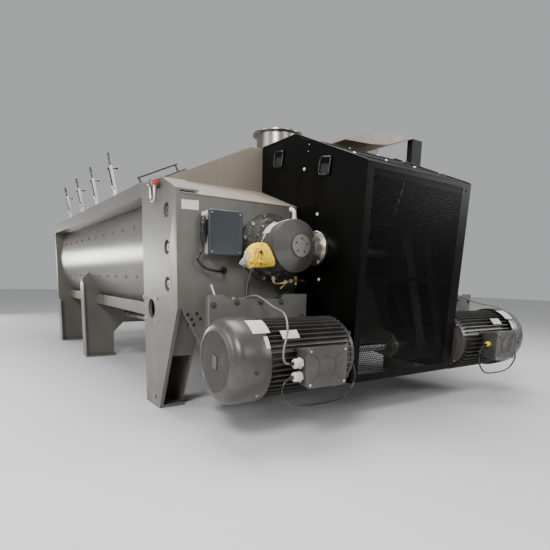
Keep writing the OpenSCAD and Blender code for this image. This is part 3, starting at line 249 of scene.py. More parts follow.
pulleyIron = castIron("pulleyIron", (0.055, 0.055, 0.06))
beltRubber = moulded("beltRubber", (0.012, 0.012, 0.013), 0.6)
cableBlack = moulded("cableBlack", (0.010, 0.010, 0.011), 0.24)
cableGrey = moulded("cableGrey", (0.17, 0.165, 0.15), 0.32)
ivoryPlastic = moulded("ivoryPlastic", (0.62, 0.60, 0.52), 0.4)
yellowPlastic = moulded("yellowPlastic", (0.75, 0.62, 0.08), 0.35)
fanBlack = moulded("fanBlack", (0.02, 0.02, 0.02), 0.5)
brassTap = bareSteel("brassTap", (0.62, 0.42, 0.16), 0.3, (1, 1, 4), 0.25)
plateWhite = moulded("plateWhite", (0.60, 0.60, 0.57), 0.35)
pinRed = moulded("pinRed", (0.42, 0.035, 0.025), 0.4)
# Near-black for painted shade in holes, handle pockets and breather mouths; also the sight glass's disc
paintedShadeBlack = moulded("paintedShadeBlack", (0.004, 0.004, 0.004), 0.8)
handleGloss = moulded("handleGloss", (0.012, 0.012, 0.012), 0.14)
# Lighter tan for painted highlights along folded and top edges
highlightTan = satinPaint("highlightTan", (0.30, 0.25, 0.19), 0.35, 0.4, 0.1)
satinSteel = bareSteel("satinSteel", (0.62, 0.58, 0.50), 0.34, (1, 8, 1), 0.2)


def clearBag(name):
    # Yellow film, colourless and greyish towards its left end
    b = Board(name)
    side = b.add("ShaderNodeSeparateXYZ", {}, {0: b.spot}, "Y")
    folds = b.noise(60, 4, 0.6)
    left = (side + (folds - 0.5) * 0.03).ramp(-0.965, -0.985)
    shade = b.blend(folds.ramp(0.35, 0.65), (0.92, 0.55, 0.01, 1), (0.98, 0.76, 0.10, 1))
    shade = b.blend(left, shade, (0.42, 0.38, 0.36, 1))
    return b.feed(Base_Color=shade, Roughness=folds.ramp(0.3, 0.7, 0.14, 0.32), Alpha=1.0 - left * 0.35,
                  Normal=b.bump(folds, 0.6, 0.006))


bagYellow = clearBag("bagYellow")


def ventPaint(name):
    # Duct in the hood's paint, its post on the far side nearly black
    b = Board(name)
    side = b.add("ShaderNodeSeparateXYZ", {}, {0: b.spot}, "Y")
    cloud = b.noise(6, 4, 0.6)
    shade = b.blend(cloud.ramp(0.4, 0.65), tone(greys["hood"], 1.25), tone(greys["hood"], 0.95))
    shade = b.blend(side.ramp(0.9035, 0.9045), shade, (0.012, 0.012, 0.011, 1))
    return b.feed(Base_Color=shade, Roughness=side.ramp(0.9, 0.91, 0.42, 0.75) + (cloud - 0.5) * 0.2,
                  Normal=b.bump(cloud, 0.1, 0.002))


ventBeige = ventPaint("ventBeige")

finishes = {
    "drive_end_wall": machineGrey, "far_end_wall": drumGrey, "trough": drumGrey,
    "left_column": machineGrey, "right_column": machineGrey, "under_frame": drumGrey,
    "hood": hoodGrey, "inlet_neck": neckSteel, "hatch_gasket": beltRubber, "vent_box": ventBeige,
    "hatch_lid": motorGrey,
    "hood_fittings": boltSteel, "swing_clamp_1": clampChrome, "swing_clamp_2": clampChrome,
    "swing_clamp_3": clampChrome, "swing_clamp_4": clampChrome, "left_gear_unit": gearGrey,
    "right_gear_unit": gearGrey, "gear_fittings": boltSteel, "left_rotor_shaft": shaftSteel,
    "right_rotor_shaft": shaftSteel, "left_paddles": wornPlate, "right_paddles": wornPlate,
    "rotor_bearings": machineGrey, "shaft_seals": boltSteel, "left_motor_frame": motorGrey,
    "right_motor_frame": motorGrey, "motor_end_shields": motorGrey,
    "left_motor_rotor": shaftSteel, "right_motor_rotor": shaftSteel, "left_fan": fanBlack,
    "right_fan": fanBlack, "left_fan_cowl": motorGrey, "right_fan_cowl": motorGrey,
    "enclosures": motorGrey, "enclosure_covers": motorGrey, "cross_shaft": shaftSteel,
    "driven_pulleys": pulleyIron, "left_motor_pulley": pulleyIron, "right_motor_pulley": pulleyIron,
    "drive_belts": beltRubber, "motor_brackets": machineGrey, "guard_frame": guardBlack,
    "guard_side_panels": guardBlack, "guard_front_mesh": guardBlack, "guard_roof": guardBlack,
    "left_door": wornPlate, "right_door": wornPlate, "door_bearings": drumGrey,
    "door_actuators": hoodGrey, "left_shackle": satinSteel, "right_shackle": satinSteel,
    "cable_glands": ivoryPlastic, "left_supply_cable": cableBlack, "left_loop_cable": cableBlack,
    "right_supply_cable": cableBlack, "right_loop_cable": cableBlack, "junction_cable": cableBlack,
    "fasteners": boltSteel, "document_pouch": bagYellow,
}
for name, finish in finishes.items():
    for k in range(len(nodes[name].material_slots)):
        nodes[name].material_slots[k].material = finish


# Mesh helpers
def evaluated(piece):
    # Turns the piece's modifiers into plain mesh
    bpy.context.view_layer.update()
    graph = bpy.context.evaluated_depsgraph_get()
    mesh = bpy.data.meshes.new_from_object(piece.evaluated_get(graph))
    piece.modifiers.clear()
    piece.data = mesh
    return piece


def dressed(name, mesh, finish, body, bevel=0.0, sharp=32, replaces=()):
    # Links a finished mesh as one piece on its body
    mesh.materials.clear()
    mesh.materials.append(finish)
    mesh.shade_smooth()
    mesh.set_sharp_from_angle(angle=math.radians(sharp))
    piece = bpy.data.objects.new(name, mesh)
    bpy.context.scene.collection.objects.link(piece)
    if bevel:
        edge = piece.modifiers.new("edge", "BEVEL")
        edge.width = bevel
        edge.segments = 2
        edge.limit_method = "ANGLE"
        edge.angle_limit = math.radians(sharp)
        edge.harden_normals = True
        evaluated(piece)
    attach(piece, body)
    if replaces:
        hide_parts(*replaces)
    return piece


def softened(node, width, body="mixer_frame", sharp=32):
    # A CAD node's own shape with its edges rounded over
    b = bmesh.new()
    b.from_mesh(nodes[node].data)
    bmesh.ops.remove_doubles(b, verts=b.verts, dist=0.00002)
    bmesh.ops.dissolve_limit(b, angle_limit=math.radians(1.0), verts=b.verts, edges=b.edges)
    mesh = bpy.data.meshes.new(node + "Dressed")
    b.to_mesh(mesh)
    b.free()
    return dressed(node + "Dressed", mesh, finishes[node], body, width, sharp, (node,))


class Shop:
    # Gathers the solids of one piece; places are metres from the drive wall's front face
    def __init__(self):
        self.b = bmesh.new()

    def prism(self, ring, push):
        push = Vector(push)
        low = [self.b.verts.new(place(*p)) for p in ring]
        high = [self.b.verts.new(place(*p) + push) for p in ring]
        self.b.faces.new(low[::-1])
        self.b.faces.new(high)
        for k in range(len(ring)):
            m = (k + 1) % len(ring)
            self.b.faces.new((low[k], low[m], high[m], high[k]))
        return self

    def box(self, xs, ys, zs):
        ring = [(xs[0], ys[0], zs[0]), (xs[1], ys[0], zs[0]), (xs[1], ys[1], zs[0]), (xs[0], ys[1], zs[0])]
        return self.prism(ring, (0, 0, zs[1] - zs[0]))

    def loft(self, rings):
        # Rings of as many points each, joined in turn and closed at both ends
        loops = [[self.b.verts.new(place(*p)) for p in ring] for ring in rings]
        for one, two in zip(loops, loops[1:]):
            for k in range(len(one)):
                m = (k + 1) % len(one)
                self.b.faces.new((one[k], one[m], two[m], two[k]))
        self.b.faces.new(loops[0][::-1])
        self.b.faces.new(loops[-1])
        return self

    def turned(self, spot, along, profile, sides=48, squash=1.0, grips=0.0):
        # profile: (distance along, radius), from one end on the axis to the other
        # grips: depth of the finger grips
        along = Vector(along).normalized()
        side = along.orthogonal().normalized()
        up = along.cross(side)
        rings = []
        for reach, radius in profile:
            centre = place(*spot) + along * reach
            if radius < 1e-6:
                rings.append([self.b.verts.new(centre)])
                continue
            ring = []
            for k in range(sides):
                a = 2 * math.pi * k / sides
                reachOut = radius - (grips if k // 2 % 2 else 0.0)
                way = side * math.cos(a) + up * math.sin(a) * squash
                ring.append(self.b.verts.new(centre + way * reachOut))
            rings.append(ring)
        for one, two in zip(rings, rings[1:]):
            for k in range(sides):
                m = (k + 1) % sides
                corners = [one[k % len(one)], one[m % len(one)], two[m % len(two)], two[k % len(two)]]
                unique = list(dict.fromkeys(corners))
                if len(unique) > 2:
                    self.b.faces.new(unique)
        return self

    def rod(self, start, end, radius, sides=20):
        run = Vector(end) - Vector(start)
        soft = min(radius * 0.12, 0.002)
        return self.turned(start, run, [(0, 0), (0, radius - soft), (soft, radius),
                                        (run.length - soft, radius),
                                        (run.length, radius - soft), (run.length, 0)], sides)

    def torus(self, spot, along, ring, thick, sides=40, across=10):
        along = Vector(along).normalized()
        side = along.orthogonal().normalized()
        up = along.cross(side)
        loops = []
        for k in range(sides):
            a = 2 * math.pi * k / sides
            out = side * math.cos(a) + up * math.sin(a)
            loop = []
            for j in range(across):
                turn = 2 * math.pi * j / across
                reachOut = out * (ring + thick * math.cos(turn))
                loop.append(self.b.verts.new(place(*spot) + reachOut + along * thick * math.sin(turn)))
            loops.append(loop)
        for k in range(sides):
            for j in range(across):
                one, two = loops[k], loops[(k + 1) % sides]
                m = (j + 1) % across
                self.b.faces.new((one[j], two[j], two[m], one[m]))
        return self

    def sweep(self, points, radius, sides=12, end=None):
        # A round bar along the points, tapering to the radius end if that is given
        points = [place(*p) for p in points]
        last = len(points) - 1
        side = None
        rings = []
        for k, spot in enumerate(points):
            run = (points[min(k + 1, len(points) - 1)] - points[max(k - 1, 0)]).normalized()
            side = run.orthogonal() if side is None else side - run * side.dot(run)
            side.normalize()
            up = run.cross(side)
            thick = radius if end is None else radius + (end - radius) * k / last
            ring = []
            for j in range(sides):
                a = 2 * math.pi * j / sides
                ring.append(self.b.verts.new(spot + (side * math.cos(a) + up * math.sin(a)) * thick))
            rings.append(ring)
        for one, two in zip(rings, rings[1:]):
            for j in range(sides):
                m = (j + 1) % sides
                self.b.faces.new((one[j], one[m], two[m], two[j]))
        self.b.faces.new(rings[0][::-1])
        self.b.faces.new(rings[-1])
        return self

    def done(self, name, finish, body="mixer_frame", bevel=0.0, sharp=32, replaces=()):
        bmesh.ops.recalc_face_normals(self.b, faces=self.b.faces)
        mesh = bpy.data.meshes.new(name)
        self.b.to_mesh(mesh)
        self.b.free()
        return dressed(name, mesh, finish, body, bevel, sharp, replaces)


# Geometry Nodes trees
class Grove:
    # One Geometry Nodes tree with named inputs
    def __init__(self, name, inputs):
        self.tree = bpy.data.node_groups.new(name, "GeometryNodeTree")
        face = self.tree.interface
        face.new_socket("Geometry", in_out="OUTPUT", socket_type="NodeSocketGeometry")
        self.ids = {"Geometry": face.new_socket("Geometry", in_out="INPUT",
                                                socket_type="NodeSocketGeometry").identifier}
        for label, (kind, value) in inputs.items():
            socket = face.new_socket(label, in_out="INPUT", socket_type="NodeSocket" + kind)
            if value is not None:
                socket.default_value = value
            self.ids[label] = socket.identifier
        self.start = self.tree.nodes.new("NodeGroupInput")
        self.end = self.tree.nodes.new("NodeGroupOutput")

    def given(self, label):
        return self.start.outputs[label]

    def add(self, kind, settings, sockets, out=0):
        node = self.tree.nodes.new(kind)
        for key, value in settings.items():
            setattr(node, key, value)
        for key, value in sockets.items():
            if isinstance(value, bpy.types.NodeSocket):
                self.tree.links.new(value, node.inputs[key])
            elif isinstance(value, list):
                for one in value:
                    self.tree.links.new(one, node.inputs[key])
            else:
                node.inputs[key].default_value = value
        return node.outputs[out]

    def sum(self, how, first, second=0.0):
        return self.add("ShaderNodeMath", {"operation": how}, {0: first, 1: second})

    def close(self, geometry):
        solid = self.add("GeometryNodeRealizeInstances", {}, {"Geometry": geometry})
        painted = self.add("GeometryNodeSetMaterial", {},
                           {"Geometry": solid, "Material": self.given("Material")})
        self.tree.links.new(painted, self.end.inputs["Geometry"])
        return self

    def grow(self, name, finish, values, spots=(), facings=(), body="mixer_frame", sharp=32, replaces=(),
             slot=None):
        # Runs the tree on the given spots and keeps the result as plain mesh
        mesh = bpy.data.meshes.new(name)
        mesh.from_pydata([place(*p) for p in spots], [], [])
        if facings:
            facing = mesh.attributes.new("facing", "FLOAT_VECTOR", "POINT")
            facing.data.foreach_set("vector", np.array(facings, np.float32).ravel())
        piece = bpy.data.objects.new(name, mesh)
        bpy.context.scene.collection.objects.link(piece)
        run = piece.modifiers.new("grow", "NODES")
        run.node_group = self.tree
        run[self.ids["Material"]] = finish
        for label, value in values.items():
            run[self.ids[label]] = value
        evaluated(piece)
        mesh = piece.data
        bpy.data.objects.remove(piece)
        if "facing" in mesh.attributes:
            mesh.attributes.remove(mesh.attributes["facing"])
        return dressed(name, mesh, finish, body, 0.0, sharp, replaces)


def plantHeads():
    # Bolt, screw or rivet heads that stand on points and look along each point's facing
    g = Grove("fixingHeads", {
        "Material": ("Material", None), "Radius": ("Float", 0.012), "Height": ("Float", 0.008),
        "Sides": ("Int", 6), "Crown": ("Float", 0.85), "Washer": ("Float", 1.5), "Seed": ("Int", 7)})
    half = g.sum("MULTIPLY", g.given("Height"), 0.5)
    barrel = g.add("GeometryNodeMeshCone", {}, {"Vertices": g.given("Sides"), "Radius Top": g.given("Radius"),
                                               "Radius Bottom": g.given("Radius"), "Depth": half})
    narrow = g.sum("MULTIPLY", g.given("Radius"), g.given("Crown"))
    crown = g.add("GeometryNodeMeshCone", {}, {"Vertices": g.given("Sides"), "Radius Top": narrow,
                                               "Radius Bottom": g.given("Radius"), "Depth": half})
    lift = g.add("ShaderNodeCombineXYZ", {}, {"Z": half})
    crown = g.add("GeometryNodeTransform", {}, {"Geometry": crown, "Translation": lift})
    wide = g.sum("MULTIPLY", g.given("Radius"), g.given("Washer"))
    disc = g.add("GeometryNodeMeshCylinder", {}, {"Vertices": 20, "Radius": wide, "Depth": 0.002})
    sink = g.add("ShaderNodeCombineXYZ", {}, {"Z": 0.001})
    disc = g.add("GeometryNodeTransform", {}, {"Geometry": disc, "Translation": sink})
    head = g.add("GeometryNodeJoinGeometry", {}, {"Geometry": [barrel, crown, disc]})
    facing = g.add("GeometryNodeInputNamedAttribute", {"data_type": "FLOAT_VECTOR"}, {"Name": "facing"})
    turn = g.add("FunctionNodeAlignRotationToVector", {"axis": "Z"}, {"Vector": facing})
    spin = g.add("FunctionNodeRandomValue", {"data_type": "FLOAT"},
                 {2: 0.0, 3: 6.28, "Seed": g.given("Seed")}, 1)
    spin = g.add("ShaderNodeCombineXYZ", {}, {"Z": spin})
    spin = g.add("FunctionNodeEulerToRotation", {}, {0: spin})
    turn = g.add("FunctionNodeRotateRotation", {"rotation_space": "LOCAL"}, {0: turn, 1: spin})
    points = g.add("GeometryNodeMeshToPoints", {}, {"Mesh": g.given("Geometry")})
    stand = g.add("GeometryNodeInstanceOnPoints", {}, {"Points": points, "Instance": head, "Rotation": turn})
    return g.close(stand)


headTree = plantHeads()


def heads(name, rows, radius, height, finish, sides=6, crown=0.85, washer=1.5, body="mixer_frame",
          slot="steel"):
    # rows: (place, facing) of each head
    spots = [r[0] for r in rows]
    facings = [tuple(Vector(r[1]).normalized()) for r in rows]
    sizes = {"Radius": radius, "Height": height, "Sides": sides, "Crown": crown, "Washer": washer}
    return headTree.grow(name, finish, sizes, spots, facings, body, 32, (), slot)


def plantMesh():
    # A perforated sheet in the XY plane: hexagonal cells with hexagonal holes, cut to a round if Reach is set
    g = Grove("perforatedSheet", {
        "Material": ("Material", None), "Pitch": ("Float", 0.016), "Hole": ("Float", 0.62),
        "Wide": ("Float", 1.0), "High": ("Float", 1.0), "Thick": ("Float", 0.002), "Reach": ("Float", 9.0),
        "Centre": ("Vector", (0, 0, 0)), "Turn": ("Vector", (0, 0, 0))})
    rowGap = g.sum("MULTIPLY", g.given("Pitch"), 0.8660254)
    across = g.sum("FLOOR", g.sum("DIVIDE", g.given("Wide"), g.given("Pitch")))
    along = g.sum("FLOOR", g.sum("DIVIDE", g.given("High"), rowGap))
    wide = g.sum("MULTIPLY", g.sum("SUBTRACT", across, 1), g.given("Pitch"))
    high = g.sum("MULTIPLY", g.sum("SUBTRACT", along, 1), rowGap)
    grid = g.add("GeometryNodeMeshGrid", {}, {"Size X": wide, "Size Y": high, "Vertices X": across,
                                              "Vertices Y": along})
    spot = g.add("GeometryNodeInputPosition", {}, {})
    row = g.add("ShaderNodeSeparateXYZ", {}, {0: spot}, "Y")
    row = g.sum("ROUND", g.sum("DIVIDE", g.sum("ADD", row, g.sum("MULTIPLY", high, 0.5)), rowGap))
    odd = g.sum("SUBTRACT", g.sum("MODULO", row, 2.0), 0.5)
    halfPitch = g.sum("MULTIPLY", g.given("Pitch"), 0.5)
    shift = g.add("ShaderNodeCombineXYZ", {}, {"X": g.sum("MULTIPLY", odd, halfPitch)})
    grid = g.add("GeometryNodeSetPosition", {}, {"Geometry": grid, "Offset": shift})
    away = g.add("ShaderNodeVectorMath", {"operation": "LENGTH"}, {0: spot}, 1)
    outside = g.add("FunctionNodeCompare", {"data_type": "FLOAT", "operation": "GREATER_THAN"},
                    {0: away, 1: g.given("Reach")})
    grid = g.add("GeometryNodeDeleteGeometry", {"domain": "POINT"}, {"Geometry": grid, "Selection": outside})
    cell = g.add("GeometryNodeMeshCircle", {"fill_type": "NGON"},
                 {"Vertices": 6, "Radius": g.sum("MULTIPLY", g.given("Pitch"), 0.57735)})
    cell = g.add("GeometryNodeTransform", {}, {"Geometry": cell, "Rotation": (0, 0, math.radians(30))})
    pushed = g.tree.nodes.new("GeometryNodeExtrudeMesh")
    pushed.mode = "FACES"
    g.tree.links.new(cell, pushed.inputs["Mesh"])
    pushed.inputs["Offset Scale"].default_value = 0.0
    inner = g.add("GeometryNodeScaleElements", {"domain": "FACE"},
                  {"Geometry": pushed.outputs["Mesh"], "Selection": pushed.outputs["Top"],
                   "Scale": g.given("Hole")})
    walls = g.tree.nodes.new("GeometryNodeExtrudeMesh")
    walls.mode = "FACES"
    g.tree.links.new(inner, walls.inputs["Mesh"])
    g.tree.links.new(pushed.outputs["Top"], walls.inputs["Selection"])
    g.tree.links.new(g.sum("MULTIPLY", g.given("Thick"), -1.0), walls.inputs["Offset Scale"])
    ring = g.add("GeometryNodeDeleteGeometry", {"domain": "FACE"},
                 {"Geometry": walls.outputs["Mesh"], "Selection": walls.outputs["Top"]})
    points = g.add("GeometryNodeMeshToPoints", {}, {"Mesh": grid})
    sheet = g.add("GeometryNodeInstanceOnPoints", {}, {"Points": points, "Instance": ring})
    turn = g.add("FunctionNodeEulerToRotation", {}, {0: g.given("Turn")})
    sheet = g.add("GeometryNodeTransform", {}, {"Geometry": sheet, "Translation": g.given("Centre"),
                                                "Rotation": turn})
    return g.close(sheet)


sheetTree = plantMesh()


def perforated(name, finish, centre, turn, wide, high, pitch, hole, thick=0.002, reach=9.0,
               body="mixer_frame", slot=None, replaces=()):
    # turn: the sheet's own X and Y as Euler angles
    sizes = {"Centre": place(*centre), "Turn": turn, "Wide": wide, "High": high, "Pitch": pitch,
             "Hole": hole, "Thick": thick, "Reach": reach}
    return sheetTree.grow(name, finish, sizes, [(0, 0, 0)], (), body, 32, replaces, slot)


# Cables: the same routes as in the CAD source, in metres from the drive wall
print("cables")
cables = {
    "supply": {"radius": 0.0055, "points": [
        (0.755, 1.005, 0.470), (0.755, 1.0345, 0.470), (0.758, 1.110, 0.480), (0.765, 1.130, 0.540),
        (0.740, 1.090, 0.640), (0.640, 1.040, 0.715), (0.470, 1.000, 0.745), (0.280, 0.990, 0.796),
        (0.120, 0.990, 0.772), (0.003, 0.990, 0.760), (-0.080, 0.990, 0.760)]},
    "loop": {"radius": 0.0055, "points": [
        (0.755, 1.005, 0.400), (0.755, 1.0345, 0.400), (0.757, 1.105, 0.385), (0.760, 1.125, 0.320),
        (0.764, 1.030, 0.250), (0.765, 0.850, 0.235), (0.764, 0.700, 0.255), (0.760, 0.625, 0.340),
        (0.757, 0.640, 0.430), (0.755, 0.720, 0.460), (0.755, 0.750, 0.460)]},
    "junction": {"radius": 0.008, "points": [
        (0.042, -1.221, 1.165), (0.042, -1.221, 1.1184), (0.043, -1.232, 1.062), (0.045, -1.262, 1.005),
        (0.052, -1.215, 0.955), (0.054, -1.130, 0.937), (0.006, -1.064, 0.944), (-0.046, -1.058, 0.946)]},
}


def between(a, b, c, d, t):
    # A smooth curve's point between b and c, a and d being the neighbours
    bend = (2 * a - 5 * b + 4 * c - d) * t * t
    return 0.5 * (2 * b + (c - a) * t + bend + (3 * b - a - 3 * c + d) * t ** 3)


def smoothRoute(points, steps=10):
    spots = []
    for k in range(1, len(points) - 2):
        a, b, c, d = (Vector(p) for p in points[k - 1:k + 3])
        for j in range(steps):
            t = j / steps
            spots.append(between(a, b, c, d, t))
    return spots + [Vector(points[-2])]


def layCable(name, route, side, node, finish):
    spots = [place(p[0], p[1] * side, p[2]) for p in smoothRoute(route["points"])]
    line = bpy.data.curves.new(name, "CURVE")
    line.dimensions = "3D"
    line.bevel_depth = route["radius"]
    line.bevel_resolution = 4
    line.use_fill_caps = True
    spline = line.splines.new("POLY")
    spline.points.add(len(spots) - 1)
    for point, spot in zip(spline.points, spots):
        point.co = (*spot, 1)
    spline.use_smooth = True
    line.materials.append(finish)
    piece = bpy.data.objects.new(name, line)
    bpy.context.scene.collection.objects.link(piece)
    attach(piece, "mixer_frame")
    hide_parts(node)


for side, word in ((-1, "left"), (1, "right")):
    layCable(word + "SupplyLead", cables["supply"], side, word + "_supply_cable", cableGrey)
    layCable(word + "LoopLead", cables["loop"], side, word + "_loop_cable", cableBlack)
layCable("junctionLead", cables["junction"], 1, "junction_cable", cableBlack)

# Plates, castings and boxes with softened edges
print("plates")
soft = {
    "drive_end_wall": 0.003, "far_end_wall": 0.003, "left_column": 0.003, "right_column": 0.003,
    "under_frame": 0.003, "hood": 0.0025, "vent_box": 0.003, "left_gear_unit": 0.004,
    "right_gear_unit": 0.004, "rotor_bearings": 0.003, "motor_brackets": 0.003, "guard_frame": 0.002,
    "door_bearings": 0.002, "door_actuators": 0.003, "inlet_neck": 0.0015,
    "guard_side_panels": 0.001, "guard_roof": 0.001,
}
for node, width in soft.items():
    softened(node, width)

# Trough side: rivets on the drum, bolts under the rim
print("trough")
shaft = {"y": 0.73, "z": 1.1, "drum": 0.6}


def onDrum(x, side, z, radius=shaft["drum"]):
    # Place and facing of a point on the drum's outside at height z
    up = z - shaft["z"]
    out = math.sqrt(radius ** 2 - up ** 2)
    return ((x, side * (shaft["y"] + out), z), (0, side * out, up))


rows = []
for side in (-1, 1):
    rows += [onDrum(-0.72 - 0.297 * k, side, 0.89) for k in range(12)]
heads("drumRivets", rows, 0.012, 0.010, drumGrey, 16, 0.55, 1.3, slot="trough_paint")
rows = []
for side in (-1, 1):
    rows += [onDrum(-0.70 - 0.31 * k, side, 1.265) for k in range(12)]
heads("drumBolts", rows, 0.013, 0.010, drumGrey, slot="trough_paint")

# Belt guard: perforated front that leans back, folded edges, domed bolts
print("guard")
guard = {
    "half": 0.5, "foot": 0.605, "front": 0.656, "low": 0.27, "brow": 1.57, "top": 1.86, "apex": -0.03,
    "back": -0.448, "sheet": 0.003, "border": 0.055, "rightBorder": 0.095, "sill": 0.05,
    "pitch": 0.0150,
    "hole": 0.72,
    "laps": (0.10, 0.44),
    "sideBolts": ((0.073, 1.622), (0.225, 1.318), (0.265, 0.901), (0.22, 0.42)),
    "sideScrews": ((0.118, 1.768), (0.110, 1.727)),
    "frontBolts": ((-0.474, 1.456), (-0.474, 1.19), (-0.476, 0.762), (-0.478, 0.36), (0.452, 1.52),
                   (0.446, 1.24), (0.440, 0.785), (0.430, 0.337)),
    "handles": ((-0.222, 1.740), (0.290, 1.604)),
}
guardLean = math.atan((guard["front"] - guard["foot"]) / (guard["brow"] - guard["low"]))


def guardX(z):
    # The front sheet's outer face at height z
    return guard["foot"] + (z - guard["low"]) * math.tan(guardLean)


def makeGuardFront():
    g = guard
    head = g["brow"] - g["sheet"] * 1.1
    left, right = -g["half"] + g["border"], g["half"] - g["rightBorder"]
    low, high = g["low"] + g["sill"], head - 0.03
    midZ = (low + high) / 2
    perforated("guardFrontSheet", guardBlack, (guardX(midZ) - 0.001, (left + right) / 2, midZ),
               (math.radians(90) + guardLean, 0, math.radians(90)), right - left + 0.02, high - low + 0.03,
               g["pitch"], g["hole"], 0.002, 9.0, "mixer_frame", "guard_paint", ("guard_front_mesh",))
    edge = Shop()
    for y0, y1, z0, z1 in ((-g["half"], left, g["low"], head), (right, g["half"], g["low"], head),
                           (left, right, g["low"], low), (left, right, high, head)):
        ring = [(guardX(z0), y0, z0), (guardX(z0), y1, z0), (guardX(z1), y1, z1), (guardX(z1), y0, z1)]
        edge.prism(ring, (-0.003, 0, 0))
    edge.done("guardFrontEdges", guardBlack, bevel=0.001)
    rows = [((guardX(z) - 0.0005, y, z), (1, 0, 0)) for y, z in g["frontBolts"]]
    heads("guardFrontBolts", rows, 0.0065, 0.004, guardBlack, 12, 0.7, 1.3, slot="guard_paint")


def makeGuardTrim():
    g = guard
    rows = []
    for side in (-1, 1):
        rows += [((x, side * g["half"], z), (0, side, 0)) for x, z in g["sideBolts"]]
    heads("guardSideBolts", rows, 0.0095, 0.008, plateWhite, 16, 0.55, 1.1)
    rows = []
    for side in (-1, 1):
        rows += [((x, side * g["half"], z), (0, side, 0)) for x, z in g["sideScrews"]]
    heads("guardSideScrews", rows, 0.0045, 0.003, boltSteel, 12, 0.6, 1.2)
    # folded edges that stand up along the roof's two sides, and the brow's fold
    slope = (g["top"] - g["brow"]) / (g["front"] - g["apex"])
    lift = 0.010
    for name, y0, y1 in (("guardNearFold", -g["half"], -g["half"] + 0.012),
                         ("guardFarFold", g["half"] - 0.012, g["half"])):
        fold = Shop()
        profile = [(g["front"], g["brow"] - 0.001), (g["front"] - 0.012, g["brow"] + lift),
                   (g["apex"], g["top"] + lift), (g["back"], g["top"] + lift),
                   (g["back"], g["top"] - 0.001), (g["apex"], g["top"] - 0.001)]
        fold.prism([(x, y0, z) for x, z in profile], (0, y1 - y0, 0))
        fold.done(name, guardBlack, bevel=0.002)
    # lighter tan strips along the tops of both side folds and the near side's flat run: painted highlight
    highlightStrips = Shop()
    foldSlope = (g["top"] - g["brow"]) / (g["front"] - 0.012 - g["apex"])
    for y in (-g["half"] + 0.0005, g["half"] - 0.0115):
        ends = []
        for x in (g["apex"] + 0.01, g["front"] - 0.02):
            ends.append((x, g["brow"] + 0.0102 + (g["front"] - 0.012 - x) * foldSlope))
        ring = [(ends[0][0], y, ends[0][1]), (ends[1][0], y, ends[1][1]),
                (ends[1][0], y + 0.011, ends[1][1]), (ends[0][0], y + 0.011, ends[0][1])]
        highlightStrips.prism(ring, (0, 0, 0.0012))
    highlightStrips.box((g["back"] + 0.01, g["apex"] - 0.01), (-g["half"] + 0.0005, -g["half"] + 0.0115),
             (g["top"] + 0.0101, g["top"] + 0.0112))
    highlightStrips.done("guardEdgeHighlight", highlightTan)
    # lap of the two roof sheets and the hat rail across the roof
    lap = Shop()
    wide = 0.03
    for x in g["laps"]:
        z = g["top"] - (x - g["apex"]) * slope
        lap.prism([(x, -g["half"] + 0.02, z), (x + wide, -g["half"] + 0.02, z - wide * slope),
                   (x + wide, g["half"] - 0.02, z - wide * slope), (x, g["half"] - 0.02, z)], (0, 0, 0.006))
    lap.done("guardRoofLaps", guardBlack, bevel=0.001)
    rows = []
    up = (slope, 0, 1)
    for y in (-0.42, -0.14, 0.14, 0.42):
        for x in g["laps"]:
            x += 0.015
            rows.append(((x, y, g["top"] - (x - g["apex"]) * slope + 0.006), up))
    heads("guardRoofBolts", rows, 0.008, 0.006, boltSteel)


def makePullHandles():
    # Rounded rims of the recessed handles, with near-black plates inside them as painted shade for the
    # pockets; each leans with its panel
    rims = Shop()
    pocketShades = Shop()
    lean = math.radians(10)
    for side in (-1, 1):
        for hx, hz in guard["handles"]:
            def spot(a, c, out):
                return (hx + a * math.cos(lean) + c * math.sin(lean), side * (guard["half"] + out),
                        hz - a * math.sin(lean) + c * math.cos(lean))
            loop = []
            for ca, cc, start in ((0.032, 0.034, 0), (-0.032, 0.034, 90), (-0.032, -0.034, 180),
                                  (0.032, -0.034, 270)):
                for k in range(6):
                    a = math.radians(start + 90 * k / 5)
                    loop.append((ca + 0.018 * math.cos(a), cc + 0.018 * math.sin(a)))
            ring = [spot(a, c, 0.0095) for a, c in loop]
            rims.sweep(ring + ring[:2], 0.0048, 10)
            # near-black plate inside each rim: painted shade in the pocket
            low = [spot(a * 0.84, min(c * 0.84, 0.014), 0.0046) for a, c in loop]
            pocketShades.prism(low, (0, side * 0.0012, 0))
    rims.done("pullHandleRims", handleGloss, sharp=40)
    pocketShades.done("pullHandlePocketShades", paintedShadeBlack)


makeGuardFront()
makeGuardTrim()
makePullHandles()


# Motors: fan cowl with a beaded end and a fine grille
print("motors")
motor = {"x": 0.478, "z": 0.46, "end": 1.37}


